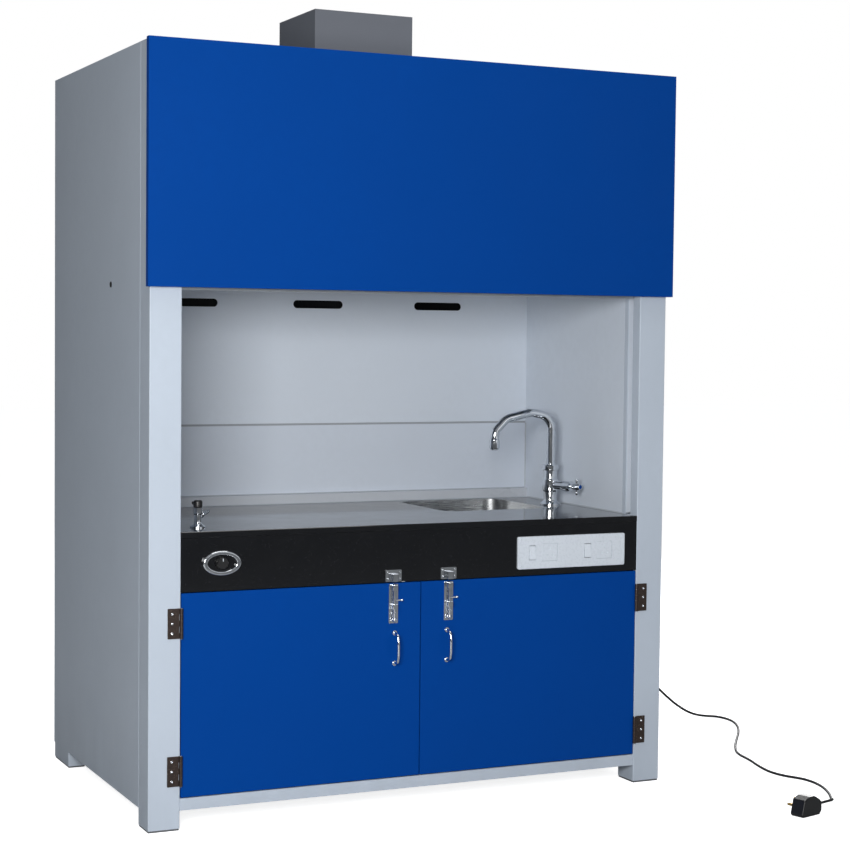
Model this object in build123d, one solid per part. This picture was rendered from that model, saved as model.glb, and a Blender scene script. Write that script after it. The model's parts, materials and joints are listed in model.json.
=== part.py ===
"""A floor-standing fume hood with a cupboard base, sink, tap and counterbalanced sash.

Millimetres, +X to the right, +Y to the back, +Z up.  The origin is on the floor, in the
middle of the hood's own box (the mains lead on the floor is not counted).  Each entry of
NODES is one sub-part and becomes parts/NAME.step.
"""
import math
import os

from build123d import *

# ---------------------------------------------------------------- driving dimensions
HOOD_WIDTH = 1800.0
HOOD_DEPTH = 1130.0
HOOD_HEIGHT = 2380.0
FASCIA_PROUD = 24.0          # the fascia stands in front of the columns
FASCIA_OVERHANG = 12.5       # and past them on each side
HANDLE_REACH = 38.0          # door handles stand in front of the doors, furthest of all
PIPE_TAIL = 30.0             # services stand out of the back panel
POST = 100.0                 # front column, square
SHEET = 1.5                  # general sheet metal
COLUMN_WALL = 3.0

FRONT = HANDLE_REACH - (HANDLE_REACH + HOOD_DEPTH + PIPE_TAIL) / 2   # columns and doors
BACK = FRONT + HOOD_DEPTH
HALF = HOOD_WIDTH / 2
CLEAR = HALF - POST          # half the clear width between the columns
TOP = HOOD_HEIGHT - 2.0      # underside of the top panel

FASCIA_BOTTOM = 1644.0
WORKTOP_TOP = 908.0
WORKTOP_THICK = 20.0
APRON_BOTTOM = 725.0
DOOR_TOP = 722.0
DOOR_BOTTOM = 100.0
SKIRT_BOTTOM = 57.0          # lower edge of the outer panels
PAD = 6.0                    # foot pads
BAFFLE_Y = FRONT + 800.0
BAFFLE_SEAM = 1188.0
SLOT_Z = 1612.0
SLOT_X = (-507.0, -39.0, 430.0)
SLOT_SIZE = (188.0, 28.0)

SASH_BOTTOM = 1638.0         # raised, which is the rest position
SASH_HEIGHT = 732.0
SASH_TRAVEL = 725.0
SASH_Y = (FRONT + 46.0, FRONT + 74.0)
SASH_HALF = 832.0
ROPE_X = 854.0
ROPE_R = 2.0
PULLEY_R = 40.0              # to the rope's centre line
PULLEY_Z = 2300.0
PULLEY_Y = FRONT + 100.0
AXLE_R = 6.0
LUG_TOP = 1725.0
WEIGHT_Z = (945.0, 1500.0)   # length chosen so that the two weights balance the sash

SINK = (456.0, FRONT + 555.0)
SINK_SIZE = (402.0, 400.0)
SINK_CORNER = 60.0
SINK_FLOOR = 700.0
SINK_STEEL = 1.2
SINK_RIM = (10.0, 1.4)       # width of the rim, and depth of its rebate in the slab
SINK_GAP = 0.3
TRAP_TOP = 650.0
DRAIN_Z = TRAP_TOP - 65.0
DRAIN_R = (20.0, 17.5)       # outlet pipe, outside and inside
WATER_Z = 560.0
GAS_Z = 520.0
PIPE_R = 7.5
TAP = (720.0, FRONT + 460.0)
SPOUT_SEAT = WORKTOP_TOP + 124.0
TAP_VALVE_Z = 980.0
TAP_VALVE_ANGLE = -70.0      # the side valve points forwards and slightly right
GAS_COCK = (-708.0, FRONT + 118.0)
SPINDLE_R = 5.0
SPOUT_TAIL_R = 10.0          # the spout's spigot, which turns in the pillar
CONTROL = (-671.0, 810.0)    # x and z on the apron
SPINDLE_END = FRONT + 44.6   # the control's spindle meets its valve here
PLATE = (547.0, 799.5)       # x and z of the switch plate
PLATE_SIZE = (404.0, 107.0)
ROCKER_X = (398.0, 606.0)
ROCKER_PIVOT = (FRONT - 3.0, 2.0)    # y of the rockers' trunnions, and their radius
SOCKET_X = (462.0, 670.0)
LIGHT_Y = FRONT + 280.0

HINGE_Z = (182.0, 632.0)
HINGE_HEIGHT = 92.0
HINGE_LEAF = 42.0
KNUCKLE_R = 5.5
PIN_R = 3.0
RUNNING_GAP = 0.06           # radial clearance of pins and spindles in their bores
PIN_X = CLEAR - 1.0
PIN_Y = FRONT - KNUCKLE_R
DOOR_EDGE = CLEAR - 2.5
DOOR_THICK = 20.0

HANDLE_X = 92.0
HANDLE_Z = (458.0, 571.0)
BOLT_X = 97.0
BOLT_R = 5.0
BOLT_Y = FRONT - 10.0
BOLT_TOP = 721.0             # drawn back, which is the rest position
BOLT_THROW = 20.0

DUCT_SIZE = (358.0, 334.0)
DUCT_Y = FRONT + 667.0
DUCT_TOP = 2594.0
DUCT_LIP = 30.0              # flange turned in at the top
DUCT_HOLE_IN = 16.0          # bolt holes, in from the collar's sides
DUCT_HOLE_R = 4.5

LEAD_D = 9.0
GLAND_Y = FRONT + 700.0
GLAND_Z = 435.0
GLAND_END = HALF + 28.0
PLUG_ENTRY = (HALF + 254.0, FRONT - 565.0, 27.0)
PLUG_TURN = 16.0             # degrees, the plug lies turned on the floor
PLUG_RUN = 68.0              # the lead's last stretch is in line with the plug's grip

NODES = {}


# ---------------------------------------------------------------- helpers
def block(x, y, z):
    """A box between the limits x, y and z, each a (low, high) pair."""
    size = (x[1] - x[0], y[1] - y[0], z[1] - z[0])
    middle = ((x[0] + x[1]) / 2, (y[0] + y[1]) / 2, (z[0] + z[1]) / 2)
    return Pos(*middle) * Box(*size)


def rod(start, end, radius):
    """A round bar from one point to another."""
    start = Vector(*start)
    end = Vector(*end)
    plane = Plane(origin=start, z_dir=end - start)
    return extrude(plane * Circle(radius), amount=(end - start).length)


def upright(x, y, z, radius):
    """A vertical round bar, z is a (low, high) pair."""
    return rod((x, y, z[0]), (x, y, z[1]), radius)


def rounded_block(x, y, z, radius, axis=Axis.Z):
    """A box whose edges along one axis are rounded."""
    shape = block(x, y, z)
    return fillet(shape.edges().filter_by(axis), radius)


def both_sides(shape):
    """The right-hand piece with its mirror image, as one group."""
    return Compound(children=[shape, mirrored(shape)])


def mirrored(shape):
    return mirror(shape, about=Plane.YZ)


def group(shapes):
    return Compound(children=list(shapes))


def bent_bar(points, radii, radius):
    """A round bar along straight runs joined by tangent arcs."""
    path = FilletPolyline(*[Vector(*p) for p in points], radius=radii)
    start = Plane(origin=path @ 0, z_dir=path % 0)
    return sweep(start * Circle(radius), path=path)


def turned(profile, origin, axis):
    """A lathe shape: profile is (radius, height) pairs, turned about an axis at origin."""
    face = make_face(Polyline(*[(r, 0, h) for r, h in profile], close=True))
    shape = revolve(face, axis=Axis.Z)
    return Plane(origin=Vector(*origin), z_dir=Vector(*axis)).location * shape


# ---------------------------------------------------------------- frame and panels
def front_column():
    """Right-hand column: a folded box, open at the back, with the slot the sash runs in."""
    height = TOP - PAD
    middle = Pos(HALF - POST / 2, FRONT + POST / 2, PAD + height / 2)
    inner = POST - 2 * COLUMN_WALL
    tube = middle * extrude(RectangleRounded(POST, POST, 3.0), height / 2, both=True)
    tube -= middle * extrude(RectangleRounded(inner, inner, 1.5), height / 2, both=True)
    opening = block((CLEAR + 16, HALF - 20), (FRONT + POST - 5, FRONT + POST + 1), (PAD + 80, TOP + 1))
    sash_slot = block((CLEAR - 1, CLEAR + 5), (FRONT + 44, FRONT + 76), (WORKTOP_TOP + 2, TOP + 1))
    foot = block((CLEAR + 2, HALF - 2), (FRONT + 2, FRONT + POST - 2), (PAD, PAD + 6))
    return tube - opening - sash_slot + foot


def rear_column():
    """Right-hand rear post, a deep rectangular tube that carries the exhaust space."""
    x = (HALF - 62.0, HALF - SHEET - 0.5)
    y = (BACK - 190.0, BACK - SHEET - 0.5)
    z = (PAD, TOP)
    wall = 2.5
    tube = rounded_block(x, y, z, 3.0)
    inside = block((x[0] + wall, x[1] - wall), (y[0] + wall, y[1] - wall), (PAD + 6, TOP + 1))
    return tube - inside


def foot_pads():
    front = block((CLEAR + 2, HALF - 2), (FRONT + 2, FRONT + POST - 2), (0, PAD))
    rear = block((HALF - 60, HALF - 4), (BACK - 188, BACK - 4), (0, PAD))
    pads = [front, rear, mirrored(front), mirrored(rear)]
    return group(pads)


def outer_panel(with_gland_hole):
    """Outer side panel: one sheet with a return all round."""
    y = (FRONT + POST, BACK - SHEET)
    z = (SKIRT_BOTTOM, TOP)
    turn = 15.0
    panel = block((HALF - turn, HALF), y, z)
    panel -= block((HALF - turn - 1, HALF - SHEET), (y[0] + SHEET, y[1] - SHEET),
                   (z[0] + SHEET, z[1] - SHEET))
    panel = chamfer(panel.edges().filter_by(Axis.Z).group_by(Axis.X)[-1], 0.6)
    # The rear post stands against the back return.
    panel -= block((HALF - turn - 1, HALF - SHEET - 0.01), (BACK - 191, BACK), (z[0] - 1, z[1] + 1))
    if with_gland_hole:
        panel -= rod((HALF - 5, GLAND_Y, GLAND_Z), (HALF + 5, GLAND_Y, GLAND_Z), 8.2)
    return panel


def liner():
    return block((CLEAR, CLEAR + SHEET), (FRONT + POST, BACK - SHEET - 0.5), (SKIRT_BOTTOM + 3, TOP))


def back_panel():
    panel = block((-HALF + SHEET, HALF - SHEET), (BACK - SHEET, BACK), (SKIRT_BOTTOM, TOP))
    holes = [(TAP[0], WATER_Z, 12.0), (GAS_COCK[0], GAS_Z, 12.0), (SINK[0], DRAIN_Z, 24.0)]
    for x, z, radius in holes:
        panel -= rod((x, BACK - 5, z), (x, BACK + 5, z), radius)
    return panel


def top_panel():
    panel = block((-HALF, HALF), (FRONT, BACK), (TOP, HOOD_HEIGHT))
    inside = (DUCT_SIZE[0] / 2 - SHEET, DUCT_SIZE[1] / 2 - SHEET)
    panel -= block((-inside[0], inside[0]), (DUCT_Y - inside[1], DUCT_Y + inside[1]),
                   (TOP - 1, HOOD_HEIGHT + 1))
    return panel


def duct_collar():
    """Rectangular spigot with a foot flange and a drilled flange turned in at the top."""
    half = (DUCT_SIZE[0] / 2, DUCT_SIZE[1] / 2)
    x = (-half[0], half[0])
    y = (DUCT_Y - half[1], DUCT_Y + half[1])
    foot = 22.0
    collar = block(x, y, (HOOD_HEIGHT, DUCT_TOP))
    collar += block((x[0] - foot, x[1] + foot), (y[0] - foot, y[1] + foot),
                    (HOOD_HEIGHT, HOOD_HEIGHT + SHEET))
    collar -= block((x[0] + SHEET, x[1] - SHEET), (y[0] + SHEET, y[1] - SHEET),
                    (HOOD_HEIGHT - 1, DUCT_TOP - 2))
    collar -= block((x[0] + DUCT_LIP, x[1] - DUCT_LIP), (y[0] + DUCT_LIP, y[1] - DUCT_LIP),
                    (HOOD_HEIGHT - 1, DUCT_TOP + 1))
    for sx in (-1, 1):
        for sy in (-1, 1):
            hole = (sx * (half[0] - DUCT_HOLE_IN), DUCT_Y + sy * (half[1] - DUCT_HOLE_IN))
            collar -= upright(*hole, (DUCT_TOP - 5, DUCT_TOP + 1), DUCT_HOLE_R)
    return collar


def fascia():
    """Front header panel: a shallow pan, lips turned in where it meets the columns."""
    x = HALF + FASCIA_OVERHANG
    y = (FRONT - FASCIA_PROUD, FRONT)
    z = (FASCIA_BOTTOM, HOOD_HEIGHT)
    pan = block((-x, x), y, z)
    pan = fillet(pan.faces().sort_by(Axis.Y)[0].edges(), 2.0)
    pan -= block((SHEET - x, x - SHEET), (y[0] + SHEET, y[1] - SHEET), (z[0] + SHEET, z[1] - SHEET))
    pan -= block((-x + 60, x - 60), (y[1] - 5, y[1] + 1), (z[0] + 12, z[1] - 12))
    return pan


def base_pan():
    """Cupboard floor; its front edge is folded down as the rail under the doors."""
    floor = block((-CLEAR, CLEAR), (FRONT + 2, BACK - SHEET - 0.5), (95.5, 97))
    rail = block((-CLEAR, CLEAR), (FRONT + 2, FRONT + 2 + SHEET), (60, 97))
    lip = block((-CLEAR, CLEAR), (FRONT + 2, FRONT + 17), (60, 60 + SHEET))
    back_edge = block((-CLEAR, CLEAR), (BACK - 3.5, BACK - 2), (60, 97))
    return floor + rail + lip + back_edge


# ---------------------------------------------------------------- exhaust baffles
def upper_baffle():
    """Folded sheet: upright behind the chamber, then sloping forward under the outlet."""
    bend = (BAFFLE_Y, 1720.0)
    head = (FRONT + 470.0, TOP - 1.0)
    slope = Vector(0, head[0] - bend[0], head[1] - bend[1]).normalized()
    normal = (-slope.Z * SHEET, slope.Y * SHEET)
    outline = Polyline(
        (0, BAFFLE_Y, BAFFLE_SEAM + 3.5),
        (0, *bend),
        (0, *head),
        (0, head[0] - normal[0], head[1] - normal[1]),
        (0, bend[0] + SHEET, bend[1] + 0.4),
        (0, BAFFLE_Y + SHEET, BAFFLE_SEAM + 3.5),
        close=True,
    )
    sheet = extrude(make_face(outline), CLEAR, both=True, dir=(1, 0, 0))
    for x in SLOT_X:
        plane = Plane(origin=(x, BAFFLE_Y - 10, SLOT_Z), x_dir=(1, 0, 0), z_dir=(0, -1, 0))
        sheet -= extrude(plane * SlotOverall(*SLOT_SIZE), amount=-25)
    return sheet


def lower_baffle():
    return block((-CLEAR, CLEAR), (BAFFLE_Y, BAFFLE_Y + SHEET), (WORKTOP_TOP, BAFFLE_SEAM - 3.5))


# ---------------------------------------------------------------- worktop, sink and apron
def worktop():
    """Stone slab with a stone upstand along the back of the chamber."""
    x = (-CLEAR, CLEAR)
    z = (WORKTOP_TOP - WORKTOP_THICK, WORKTOP_TOP)
    slab = block(x, (FRONT, BACK - SHEET - 0.5), z)
    front_edges = slab.edges().filter_by(Axis.X).group_by(Axis.Y)[0]
    slab = chamfer(front_edges, 2.0)
    top = Pos(SINK[0], SINK[1], WORKTOP_TOP)
    slab -= top * extrude(sink_outline(SINK_STEEL + SINK_GAP), WORKTOP_THICK + 5, both=True)
    slab -= top * extrude(sink_outline(SINK_RIM[0] + SINK_GAP), SINK_RIM[1], both=True)
    slab -= upright(*TAP, (z[0] - 1, z[1] + 1), 11.0)
    slab -= upright(*GAS_COCK, (z[0] - 1, z[1] + 1), 9.0)
    upstand = block(x, (BAFFLE_Y - 18, BAFFLE_Y), (WORKTOP_TOP, WORKTOP_TOP + 34))
    upstand = chamfer(upstand.edges().filter_by(Axis.X).group_by(Axis.Z)[-1], 1.5)
    return group([slab, upstand])


def apron():
    board = block((-CLEAR, CLEAR), (FRONT + 1, FRONT + 19), (APRON_BOTTOM, WORKTOP_TOP - WORKTOP_THICK))
    board -= rod((CONTROL[0], FRONT - 5, CONTROL[1]), (CONTROL[0], FRONT + 25, CONTROL[1]), 7.0)
    cut = (PLATE_SIZE[0] / 2 - 14, PLATE_SIZE[1] / 2 - 14)
    board -= block((PLATE[0] - cut[0], PLATE[0] + cut[0]), (FRONT - 1, FRONT + 25),
                   (PLATE[1] - cut[1], PLATE[1] + cut[1]))
    return board


def sink_outline(margin):
    """The sink's inside outline, made larger by a margin all round."""
    return RectangleRounded(SINK_SIZE[0] + 2 * margin, SINK_SIZE[1] + 2 * margin, SINK_CORNER + margin)


def sink_bowl():
    """Pressed bowl let into the slab, its rim in a rebate, with a waste hole."""
    rim = WORKTOP_TOP - SINK_RIM[1] + SINK_STEEL
    depth = rim - SINK_FLOOR
    middle = Pos(SINK[0], SINK[1], rim - depth / 2)
    outer = extrude(sink_outline(SINK_STEEL), depth / 2, both=True)
    outer = fillet(outer.faces().sort_by(Axis.Z)[0].edges(), 20.0)
    inner = extrude(sink_outline(0), depth / 2, both=True)
    inner = fillet(inner.faces().sort_by(Axis.Z)[0].edges(), 20.0 - SINK_STEEL)
    flange = extrude(sink_outline(SINK_RIM[0]), amount=-SINK_STEEL)
    bowl = middle * outer + Pos(SINK[0], SINK[1], rim) * flange
    bowl -= Pos(0, 0, SINK_STEEL) * (middle * inner)
    bowl -= upright(*SINK, (SINK_FLOOR - 5, SINK_FLOOR + 10), 24.0)
    return bowl


def sink_waste():
    """Strainer flange with a cross grid, its tail going down to the trap."""
    floor = SINK_FLOOR + SINK_STEEL
    waste = upright(*SINK, (floor, floor + 3), 36.0)
    waste += upright(*SINK, (TRAP_TOP, floor), 22.5)
    waste -= upright(*SINK, (TRAP_TOP - 1, floor + 5), 20.0)
    for angle in range(0, 180, 45):
        bar = Box(41, 3, 3)
        waste += Pos(SINK[0], SINK[1], floor + 1.5) * Rot(0, 0, angle) * bar
    return waste


def bottle_trap():
    """Bottle trap and its outlet pipe, which goes out through the back."""
    body = [(0, TRAP_TOP - 150), (24, TRAP_TOP - 150), (31, TRAP_TOP - 140), (31, TRAP_TOP - 40),
            (36, TRAP_TOP - 36), (36, TRAP_TOP - 20), (27, TRAP_TOP - 14), (27, TRAP_TOP), (0, TRAP_TOP)]
    trap = turned(body, (*SINK, 0), (0, 0, 1))
    outlet = (SINK[0], BACK + PIPE_TAIL, DRAIN_Z)
    trap += rod((SINK[0], SINK[1], DRAIN_Z), outlet, DRAIN_R[0])
    trap += rod((SINK[0], SINK[1] + 25, DRAIN_Z), (SINK[0], SINK[1] + 52, DRAIN_Z), DRAIN_R[0] + 5)
    trap -= rod((SINK[0], SINK[1] + 60, DRAIN_Z), (SINK[0], BACK + PIPE_TAIL + 1, DRAIN_Z), DRAIN_R[1])
    return trap


# ---------------------------------------------------------------- services
def service_pipes():
    """Water feed and gas feed from the back panel, and the valve behind the control knob."""
    under = WORKTOP_TOP - WORKTOP_THICK
    pipes = []
    for fitting, level in ((TAP, WATER_Z), (GAS_COCK, GAS_Z)):
        points = [(*fitting, under - 24), (*fitting, level), (fitting[0], BACK + PIPE_TAIL, level)]
        pipes.append(bent_bar(points, [30], PIPE_R))
    x, z = CONTROL
    face = SPINDLE_END + 0.4
    middle = face + 20
    branch = GAS_Z + 120
    valve = rod((x, face, z), (x, face + 34, z), 14.0)
    valve += upright(x, middle, (z - 34, z + 34), 10.0)
    valve += upright(x, middle, (branch, z - 30), PIPE_R)
    valve += rod((x, middle, branch), (GAS_COCK[0] + PIPE_R + 1.5, GAS_COCK[1], branch), PIPE_R)
    return group(pipes + [valve])


def valve_direction():
    angle = math.radians(TAP_VALVE_ANGLE)
    return Vector(math.cos(angle), math.sin(angle), 0)


def tap_body():
    """Deck flange, pillar with the spout socket on top, and the side valve."""
    x, y = TAP
    foot = WORKTOP_TOP
    profile = [(0, foot), (36, foot), (36, foot + 5), (28, foot + 11), (23, foot + 20), (23, foot + 48),
               (28, foot + 54), (28, foot + 90), (23, foot + 96), (23, SPOUT_SEAT), (0, SPOUT_SEAT)]
    body = turned(profile, (x, y, 0), (0, 0, 1))
    body += upright(x, y, (WORKTOP_TOP - WORKTOP_THICK - 24, foot + 1), 10.0)
    nut = extrude(RegularPolygon(18, 6), amount=-8)
    body += Pos(x, y, WORKTOP_TOP - WORKTOP_THICK) * nut
    start = Vector(x, y, TAP_VALVE_Z)
    out = valve_direction()
    body += rod(start, start + out * 74, 15.0)
    body += rod(start + out * 66, start + out * 98, 18.0)
    body -= rod(start + out * 84, start + out * 104, SPINDLE_R + RUNNING_GAP)
    body -= upright(x, y, (SPOUT_SEAT - 24, SPOUT_SEAT + 1), SPOUT_TAIL_R + RUNNING_GAP)
    return body


def tap_spout():
    """Swan neck: up from a nut on the pillar, over to the left and down to a nozzle."""
    x, y = TAP
    line = [(0, SPOUT_SEAT + 10), (0, 1222), (-80, 1238), (-180, 1217), (-224, 1172), (-226, 1130)]
    points = [(x + dx, y, z) for dx, z in line]
    neck = bent_bar(points, [55, 60, 60, 40], 15.0)
    nut = [(0, SPOUT_SEAT + 0.4), (28, SPOUT_SEAT + 0.4), (29, SPOUT_SEAT + 4), (29, SPOUT_SEAT + 17),
           (24, SPOUT_SEAT + 22), (0, SPOUT_SEAT + 22)]
    spout = neck + turned(nut, (x, y, 0), (0, 0, 1))
    spout += upright(x, y, (SPOUT_SEAT - 22, SPOUT_SEAT + 1), SPOUT_TAIL_R)
    nozzle = [(0, 1112), (16, 1112), (18, 1115), (18, 1142), (15, 1148), (0, 1148)]
    return spout + turned(nozzle, (points[-1][0], y, 0), (0, 0, 1))


def tap_handle():
    """Cross handle on the side valve."""
    start = Vector(*TAP, TAP_VALVE_Z)
    out = valve_direction()
    handle = rod(start + out * 86, start + out * 116, SPINDLE_R)
    hub = rod(start + out * 108, start + out * 140, 11.0)
    handle += fillet(hub.edges(), 2.0)
    middle = start + out * 124
    across = out.cross(Vector(0, 0, 1))
    arm_length = 23.0
    for arm in (across, -across, Vector(0, 0, 1), Vector(0, 0, -1)):
        handle += rod(middle, middle + arm * arm_length, 5.0)
        handle += Pos(*(middle + arm * arm_length)) * Sphere(6.0)
    return handle


def gas_cock_body():
    """Bench gas cock: flange, pillar and a ribbed hose nozzle."""
    x, y = GAS_COCK
    foot = WORKTOP_TOP
    profile = [(0, foot), (25, foot), (25, foot + 4), (14, foot + 10), (11, foot + 16), (11, foot + 40),
               (14, foot + 44), (14, foot + 62), (0, foot + 62)]
    body = turned(profile, (x, y, 0), (0, 0, 1))
    body += upright(x, y, (WORKTOP_TOP - WORKTOP_THICK - 24, foot + 1), 8.0)
    nozzle = [(0, 0), (8, 0), (8, 18), (5, 20)]
    for rib in range(4):
        nozzle += [(6.5, 22 + 7 * rib), (5, 28 + 7 * rib)]
    nozzle += [(5, 52), (3, 54), (0, 54)]
    body += turned(nozzle, (x, y, foot + 30), (0.8, 0.45, 0.35))
    body -= upright(x, y, (foot + 44, foot + 63), SPINDLE_R + RUNNING_GAP)
    return body


def gas_cock_handle():
    x, y = GAS_COCK
    seat = WORKTOP_TOP + 62.4
    handle = upright(x, y, (seat - 16, seat + 2), SPINDLE_R)
    hub = [(0, seat), (13, seat), (14, seat + 3), (14, seat + 17), (11, seat + 22), (0, seat + 22)]
    handle += turned(hub, (x, y, 0), (0, 0, 1))
    lever = rounded_block((x - 5, x + 5), (y, y + 46), (seat + 5, seat + 15), 3.0, Axis.Y)
    return handle + lever


# ---------------------------------------------------------------- apron fittings
def control_bezel():
    """Oval ring that frames the control knob."""
    plane = Plane(origin=(CONTROL[0], FRONT + 1, CONTROL[1]), x_dir=(1, 0, 0), z_dir=(0, -1, 0))
    outer = extrude(plane * Ellipse(62, 38), amount=11)
    outer = fillet(outer.faces().sort_by(Axis.Y)[0].edges(), 5.0)
    return outer - extrude(plane * Ellipse(46, 25), amount=12)


def control_knob():
    """Dark knob with a chrome cap, on a spindle that goes back to its valve."""
    x, z = CONTROL
    face = FRONT + 0.4
    knob = [(0, 0), (19, 0), (20, 2), (18.5, 12), (16, 16), (0, 16)]
    shape = turned(knob, (x, face, z), (0, -1, 0))
    shape += rod((x, face - 1, z), (x, SPINDLE_END, z), SPINDLE_R)
    for step in range(8):
        angle = math.radians(step * 45 + 22.5)
        cut = (x + 22.5 * math.cos(angle), z + 22.5 * math.sin(angle))
        shape -= rod((cut[0], face - 20, cut[1]), (cut[0], face + 0.1, cut[1]), 5.0)
    return shape


def switch_plate():
    """Plate with openings for two rockers and two socket inserts."""
    half = (PLATE_SIZE[0] / 2, PLATE_SIZE[1] / 2)
    plane = Plane(origin=(PLATE[0], FRONT + 1, PLATE[1]), x_dir=(1, 0, 0), z_dir=(0, -1, 0))
    plate = extrude(plane * RectangleRounded(half[0] * 2, half[1] * 2, 6), amount=9)
    plate = fillet(plate.faces().sort_by(Axis.Y)[0].edges(), 2.5)
    pivot_y, pivot_r = ROCKER_PIVOT
    for x in ROCKER_X:
        plate -= block((x - 13, x + 13), (FRONT - 20, FRONT + 5), (PLATE[1] - 24, PLATE[1] + 24))
        plate -= rod((x - 16.5, pivot_y, PLATE[1]), (x + 16.5, pivot_y, PLATE[1]), pivot_r + RUNNING_GAP)
    for x in SOCKET_X:
        plate -= block((x - 29, x + 29), (FRONT - 20, FRONT + 5), (PLATE[1] - 29, PLATE[1] + 29))
    return plate


def switch_box():
    """Steel box behind the plate, open to the front."""
    cut = (PLATE_SIZE[0] / 2 - 16, PLATE_SIZE[1] / 2 - 16)
    x = (PLATE[0] - cut[0], PLATE[0] + cut[0])
    z = (PLATE[1] - cut[1], PLATE[1] + cut[1])
    box = block(x, (FRONT + 1.2, FRONT + 52), z)
    inside = block((x[0] + 1.2, x[1] - 1.2), (FRONT, FRONT + 50.8), (z[0] + 1.2, z[1] - 1.2))
    return box - inside


def socket_inserts():
    """Two shuttered sockets with three flat pin slots each."""
    inserts = []
    for x in SOCKET_X:
        insert = block((x - 28.8, x + 28.8), (FRONT - 7.5, FRONT + 24), (PLATE[1] - 28.8, PLATE[1] + 28.8))
        insert = fillet(insert.faces().sort_by(Axis.Y)[0].edges(), 1.5)
        for dx, dz, width, height in ((0, 12, 4.5, 9), (-11, -10, 7.5, 4.5), (11, -10, 7.5, 4.5)):
            insert -= block((x + dx - width / 2, x + dx + width / 2), (FRONT - 9, FRONT - 5.7),
                            (PLATE[1] + dz - height / 2, PLATE[1] + dz + height / 2))
        inserts.append(insert)
    return group(inserts)


def rocker(x):
    """Rocker with its two faces at a shallow angle and a trunnion at each side."""
    outline = Polyline(
        (0, FRONT + 6, PLATE[1] - 22),
        (0, FRONT - 11, PLATE[1] - 22),
        (0, FRONT - 9, PLATE[1]),
        (0, FRONT - 6, PLATE[1] + 22),
        (0, FRONT + 6, PLATE[1] + 22),
        close=True,
    )
    pivot_y, pivot_r = ROCKER_PIVOT
    body = Pos(x, 0, 0) * extrude(make_face(outline), 12.0, both=True, dir=(1, 0, 0))
    return body + rod((x - 16, pivot_y, PLATE[1]), (x + 16, pivot_y, PLATE[1]), pivot_r)


def light_fitting():
    """Sealed lamp housing under the top panel, with its tube."""
    housing = block((-610, 610), (LIGHT_Y - 42, LIGHT_Y + 42), (TOP - 40, TOP))
    housing = chamfer(housing.edges().filter_by(Axis.X).group_by(Axis.Z)[0], 14.0)
    tube = rod((-590, LIGHT_Y, TOP - 54), (590, LIGHT_Y, TOP - 54), 13.0)
    holders = []
    for x in (-604.0, 590.0):
        holders.append(block((x, x + 14), (LIGHT_Y - 14, LIGHT_Y + 14), (TOP - 68, TOP - 39.9)))
    return group([housing + holders[0] + holders[1], tube])


# ---------------------------------------------------------------- doors
def door():
    """Right-hand door: a pan with turned edges and a stiffener inside."""
    x = (1.5, DOOR_EDGE)
    y = (FRONT, FRONT + DOOR_THICK)
    z = (DOOR_BOTTOM, DOOR_TOP)
    skin = 1.2
    pan = block(x, y, z)
    pan = fillet(pan.faces().sort_by(Axis.Y)[0].edges(), 1.5)
    pan -= block((x[0] + skin, x[1] - skin), (y[0] + skin, y[1] - skin), (z[0] + skin, z[1] - skin))
    pan -= block((x[0] + 22, x[1] - 22), (y[0] + 8, y[1] + 1), (z[0] + 22, z[1] - 22))
    middle = (x[0] + x[1]) / 2
    stiffener = block((middle - 35, middle + 35), (y[0] + skin, y[1] - skin), (z[0] + skin, z[1] - skin))
    stiffener -= block((middle - 34, middle + 34), (y[0], y[1] - skin - 1), (z[0], z[1]))
    return pan + stiffener


def hinge_spans():
    """The five knuckles of one hinge, as (low, high) fractions of its height."""
    step = HINGE_HEIGHT / 5
    return [(step * i - HINGE_HEIGHT / 2 + 0.25, step * (i + 1) - HINGE_HEIGHT / 2 - 0.25) for i in range(5)]


def column_leaf(z):
    """Leaf on the column face with knuckles 1, 3 and 5, its pin and three screw heads."""
    spans = hinge_spans()
    half = HINGE_HEIGHT / 2
    leaf = rounded_block((PIN_X, PIN_X + HINGE_LEAF), (FRONT - 2.5, FRONT), (z - half, z + half), 2.0, Axis.Y)
    for low, high in spans[1::2]:
        leaf -= block((PIN_X - 1, PIN_X + KNUCKLE_R + 0.6), (FRONT - 5, FRONT + 1),
                      (z + low - 0.4, z + high + 0.4))
    for low, high in spans[0::2]:
        leaf += upright(PIN_X, PIN_Y, (z + low, z + high), KNUCKLE_R)
    leaf -= block((PIN_X - 8, PIN_X + 0.5), (FRONT - 2.6, FRONT + 1), (z - half - 1, z + half + 1))
    leaf -= upright(PIN_X, PIN_Y, (z - half - 1, z + half + 1), PIN_R)
    pin = upright(PIN_X, PIN_Y, (z - half - 1.5, z + half + 1.5), PIN_R)
    pieces = [leaf, pin]
    for dz in (-30.0, 0.0, 30.0):
        screw = [(0, 0), (4.2, 0), (3.6, 1.2), (2.0, 1.8), (0, 1.9)]
        pieces.append(turned(screw, (PIN_X + 28, FRONT - 2.5, z + dz), (0, -1, 0)))
    return pieces


def door_leaf(z):
    """Leaf on the door's edge with knuckles 2 and 4."""
    spans = hinge_spans()
    half = HINGE_HEIGHT / 2
    x = (DOOR_EDGE, DOOR_EDGE + 1.8)
    leaf = block(x, (FRONT + 0.4, FRONT + 18), (z - half, z + half))
    for low, high in spans[1::2]:
        leaf += upright(PIN_X, PIN_Y, (z + low, z + high), KNUCKLE_R)
        leaf += block(x, (PIN_Y, FRONT + 1), (z + low, z + high))
    leaf -= upright(PIN_X, PIN_Y, (z - half - 1, z + half + 1), PIN_R + RUNNING_GAP)
    return leaf


def column_hinges():
    pieces = []
    for z in HINGE_Z:
        for piece in column_leaf(z):
            pieces += [piece, mirrored(piece)]
    return group(pieces)


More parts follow.
